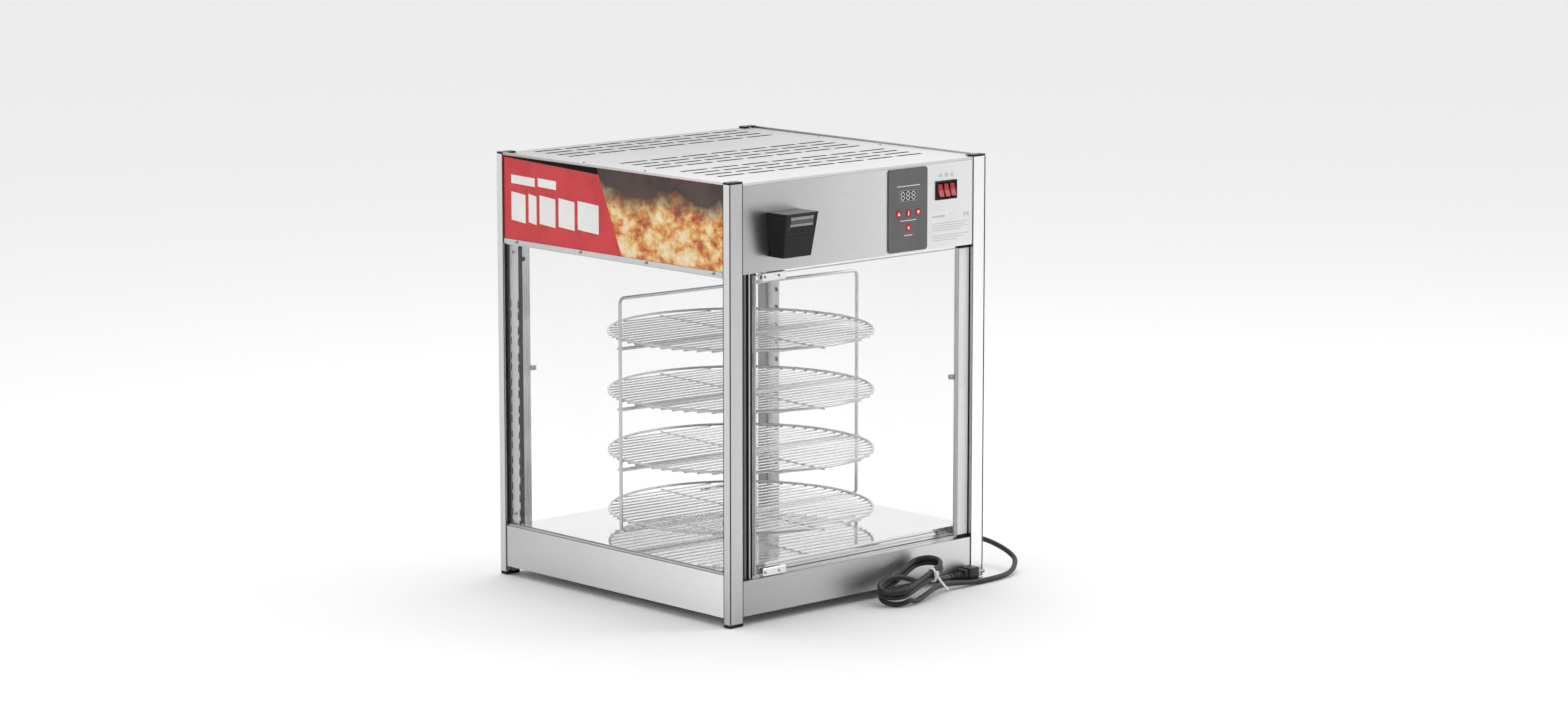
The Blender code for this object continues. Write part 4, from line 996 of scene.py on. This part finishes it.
PANEL_FACE = -283.9
FILM_FACE = -286.3  # the controller's overlay
KEY_FACE = -287.0
KEYS = {"up": (84, 628.5), "set": (106, 628.5), "down": (128, 628.5), "lamp": (106, 604.5)}
KEY_MARKS = {
    "up": ((-3.5, -2.5), (3.5, -2.5), (0, 3.5)),
    "set": ((-1.1, -3.7), (1.1, -3.7), (1.1, 3.7), (-1.1, 3.7)),
    "down": ((0, -3.5), (3.5, 2.5), (-3.5, 2.5)),
    "lamp": ((0.0, -3.8), (1.5, -0.8), (3.6, -0.8), (0.8, 1.2), (0.0, 3.8), (-1.5, 0.9), (-3.6, 0.9),
             (-0.9, -1.1)),
}
OVERLAY_LINES = ((80, 132, 672.5), (88, 124, 616.2), (97, 115, 592.0))  # (left, right, level)
WINDOW_X, WINDOW_Z = (86.6, 125.4), (648.5, 666.0)  # the display's outline, to the outside of its frame
WINDOW_LINE = 0.5
DIGITS, DIGIT_START, DIGIT_PITCH, DIGIT_FOOT = 3, 90.4, 12.1, 650.9
DIGIT_WIDTH, DIGIT_HEIGHT, DIGIT_STROKE = 7.0, 12.4, 1.6
LABEL_X, LABEL_Z = (159.0, 252.6), (571.2, 622.8)
LABEL_HEADING = (163, 192, 614.5)  # (left, right, level)
LABEL_RULES = ((163, 248, 604.0), (163, 241, 600.2), (163, 246, 596.4), (163, 229, 592.6), (163, 248, 584.0),
               (163, 236, 580.2), (163, 219, 576.4))
ICON_LEVEL = 683.5
ICONS = ((181.0, 0), (194.5, 8), (208.0, 4))  # (x, rays)


def add_digit(shape, x, face):
    """A seven-segment 8, its strokes just parted."""
    half, thick, gap = DIGIT_HEIGHT / 2, DIGIT_STROKE / 2, DIGIT_STROKE * 0.7
    depth = (face - 0.12, face)
    for level in (DIGIT_FOOT, DIGIT_FOOT + half, DIGIT_FOOT + DIGIT_HEIGHT):
        slab(shape, (x + gap, x + DIGIT_WIDTH - gap), depth, (level - thick, level + thick))
    for side in (x, x + DIGIT_WIDTH):
        for base in (DIGIT_FOOT, DIGIT_FOOT + half):
            slab(shape, (side - thick, side + thick), depth, (base + gap, base + half - gap))


def display():
    """Three figures behind a dark window, with a thin frame round it."""
    def make(shape):
        face = FILM_FACE + 0.8
        (left, right), (low, high) = WINDOW_X, WINDOW_Z
        slab(shape, (left + 0.7, right - 0.7), (face - 0.06, face + 0.1), (low + 0.3, high - 0.3), 1)
        for i in range(DIGITS):
            add_digit(shape, DIGIT_START + DIGIT_PITCH * i, face - 0.06)
        depth = (FILM_FACE - 0.08, FILM_FACE + 0.05)
        for z in ((low, low + WINDOW_LINE), (high - WINDOW_LINE, high)):
            slab(shape, WINDOW_X, depth, z, 2)
        for x in ((left, left + WINDOW_LINE), (right - WINDOW_LINE, right)):
            slab(shape, x, depth, (low + WINDOW_LINE, high - WINDOW_LINE), 2)

    mesh_piece("display", make, [DIGIT, DISPLAY_GLASS, LABEL_RULE], "case")


def key_mark(key):
    """A white mark standing on a key's face, which moves with it."""
    x, z = KEYS[key]

    def make(shape):
        points = [at(x + u, KEY_FACE, z + v) for u, v in KEY_MARKS[key]]
        add_prism(shape, points, (0, -1, 0), 0.16 * MM)

    mesh_piece("mark_" + key, make, WHITE, key + "_key")


def overlay_print():
    """A red ring printed round each key, and three plain lines instead of captions."""
    def make(shape):
        for x, z in KEYS.values():
            add_ring(shape, x, z, (6.05, 7.0), 20, FILM_FACE, 0.05, 1)
        for left, right, level in OVERLAY_LINES:
            slab(shape, (left, right), (FILM_FACE - 0.06, FILM_FACE + 0.02), (level, level + 1.3))

    mesh_piece("overlay_lines", make, [DIGIT, RED], "case")


def panel_label():
    """A blank white label with plain rules instead of print."""
    def make(shape):
        slab(shape, LABEL_X, (PANEL_FACE - 0.14, PANEL_FACE), LABEL_Z, 0, 0.05)
        print_depth = (PANEL_FACE - 0.2, PANEL_FACE - 0.1)
        left, right, level = LABEL_HEADING
        slab(shape, (left, right), print_depth, (level, level + 3.4), 1)
        for left, right, level in LABEL_RULES:
            slab(shape, (left, right), print_depth, (level, level + 1.1), 1)
        for x in (237.5, 244.5):
            slab(shape, (x - 2.4, x + 2.4), print_depth, (612.5, 618.5), 1)

    mesh_piece("panel_label", make, [LABEL_PAPER_AND_JAMB_LIGHT, LABEL_RULE], "case")


def switch_icons():
    """Small plain signs above the switches: a ring, a ring with eight rays, and a ring with four."""
    def make(shape):
        for x, rays in ICONS:
            add_ring(shape, x, ICON_LEVEL, (2.0, 2.7), 16, PANEL_FACE, 0.1)
            middle = at(x, PANEL_FACE, ICON_LEVEL)
            for ray in range(rays):
                t = 2 * math.pi * ray / rays
                out = Vector((math.cos(t), 0, math.sin(t)))
                side = Vector((-math.sin(t), 0, math.cos(t))) * 0.3 * MM
                near, far = middle + out * 3.3 * MM, middle + out * 4.6 * MM
                add_prism(shape, [near - side, far - side, far + side, near + side], (0, -1, 0), 0.1 * MM)

    mesh_piece("switch_icons", make, LABEL_RULE, "case")


display()
for key in KEYS:
    key_mark(key)
overlay_print()
panel_label()
switch_icons()


# Water hopper

HOPPER_X = -169
HOPPER_TOP, HOPPER_FRONT = 658, -329
HOPPER_LEAN = 12 / 71  # how fast the front draws in below the lid's top
BANDS = ((647.5, 652.5, 0.9, 0), (642.2, 646.6, 1.3, 1), (637.4, 641.3, 0.9, 0))  # (low, high, proud, finish)
RIBS, RIB_PITCH, RIB_WIDTH = 17, 2.9, 1.5
RIB_LOW, RIB_HIGH = 625.5, 635.8


def lid_trim():
    """Light bands across the lid's front, fine ribs under them, and a small piece at each top corner."""
    def front(x, z):
        return at(x, HOPPER_FRONT + HOPPER_LEAN * (HOPPER_TOP - z) + 0.3, z)

    def make(shape):
        left, right = HOPPER_X - 24, HOPPER_X + 24
        for low, high, proud, finish in BANDS:
            points = [front(x, z) for x, z in ((left, low), (right, low), (right, high), (left, high))]
            add_prism(shape, points, (0, -1, 0), (proud + 0.3) * MM, finish)
        for i in range(RIBS):
            x = left + 1 + RIB_PITCH * i
            points = [front(x + u, z) for u, z in ((0, RIB_LOW), (RIB_WIDTH, RIB_LOW), (RIB_WIDTH, RIB_HIGH),
                                                   (0, RIB_HIGH))]
            add_prism(shape, points, (0, -1, 0), 0.9 * MM, 2)
        for side in (-1, 1):
            x = ordered(HOPPER_X + side * 33.2, HOPPER_X + side * 34.5)
            slab(shape, x, (HOPPER_FRONT - 0.2, HOPPER_FRONT + 1.4), (655.4, 658.1), 2, 0.3)

    mesh_piece("lid_trim", make, [HOPPER_BAND, HOPPER_DARK_BAND, BLACK_GLOSS], "lid")


lid_trim()


# Lamp strips, clamp screws and roof

STRIP = (89.0, 559.6)
LEFT_FACE, RIGHT_FACE = -274.85, 274.0
PAIR_TOP, PAIR_PITCH, PAIR_GAP = 465, 44, 18.7
LAMP_TOP, LAMP_PITCH, LAMP_Y = 523, 30.5, 209
FITTING = (250, 533)  # y and z of the small round fitting on the left strip
SLOT_GROUPS = (213, -3, -150)  # the middle of each group of roof slots
SLOT_ROWS, SLOT_ROW_PITCH = 4, 29
SLOT_COLUMNS, SLOT_COLUMN_PITCH = 7, 66
SLOT_HALF_LENGTH, SLOT_HALF_WIDTH = 28.4, 4.4
ROOF_TOP = 708.0


def levels_down(top, stop, pitch):
    """Heights from top down to the last one above stop."""
    return [top - pitch * i for i in range(math.ceil((top - stop) / pitch))]


def lamp_details():
    """The left strip's two columns of paired slots, painted as dark patches for the shade inside them, and
    the row of small lamps beside the right strip.
    """
    def make(shape):
        # Painted shade: each slot is a dark patch on the strip's face.
        for level in levels_down(PAIR_TOP, 110, PAIR_PITCH):
            for top in (level, level - PAIR_GAP):
                slab(shape, (LEFT_FACE, -274.5), (263.2, 265.2), (top - 12, top))
                slab(shape, (LEFT_FACE, -274.5), (244.6, 246.8), (top - 13, top))
        slab(shape, (-274.8, -266.4), (243.7, 244.1), STRIP, 3)
        for level in (545, 105):
            add_screw(shape, at(-274.6, 255, level), (-1, 0, 0), 3.4 * MM, 1, 0)
        add_rod(shape, at(-266.7, *FITTING), at(-262.5, *FITTING), 2.4 * MM, 12, 1)
        add_rod(shape, at(-262.6, *FITTING), at(-257.5, *FITTING), 4.2 * MM, 16, 3, 3.6 * MM)
        slab(shape, (273.9, 274.8), (202, 227.8), STRIP, 2, 0.3)
        for level in levels_down(LAMP_TOP, 100, LAMP_PITCH):
            add_rod(shape, at(RIGHT_FACE, LAMP_Y, level), at(273.1, LAMP_Y, level), 4.1 * MM, 18, 3, 3.5 * MM)
            add_rod(shape, at(273.2, LAMP_Y, level), at(272.7, LAMP_Y, level), 1.6 * MM, 10, 1)

    mesh_piece("lamp_strip_details", make, [SHADOW, NICKEL, STRIP_WHITE, SEAL], "case", 40)


def clamp_screws(name, side, body):
    """Two screws on the outside of each pivot clamp."""
    def make(shape):
        for z in (79.8, 555.2):
            for x in (208, 178):
                add_screw(shape, at(side * x, side * 283.95, z), (0, side, 0), 2.6 * MM)

    mesh_piece(name, make, [CHROME, SHADOW], body, 50)


def slot_depths():
    """The unlit space in each roof slot."""
    def make(shape):
        for group in SLOT_GROUPS:
            for row in range(SLOT_ROWS):
                for column in range(SLOT_COLUMNS):
                    x = (column - (SLOT_COLUMNS - 1) / 2) * SLOT_COLUMN_PITCH
                    y = group + (row - (SLOT_ROWS - 1) / 2) * SLOT_ROW_PITCH
                    slab(shape, (x - SLOT_HALF_LENGTH, x + SLOT_HALF_LENGTH),
                         (y - SLOT_HALF_WIDTH, y + SLOT_HALF_WIDTH), (ROOF_TOP - 1.8, ROOF_TOP - 0.1))

    mesh_piece("slot_depths", make, SHADOW, "case")


def roof_screws():
    """Four screws along each side of the roof."""
    def make(shape):
        for x in (-262, 262):
            for y in (-262, -60, 90, 262):
                add_screw(shape, at(x, y, ROOF_TOP), (0, 0, 1), 2.8 * MM)

    mesh_piece("roof_screws", make, [NICKEL, SHADOW], "case", 50)


lamp_details()
clamp_screws("front_clamp_screws", -1, "front_door")
clamp_screws("rear_clamp_screws", 1, "rear_door")
slot_depths()
roof_screws()
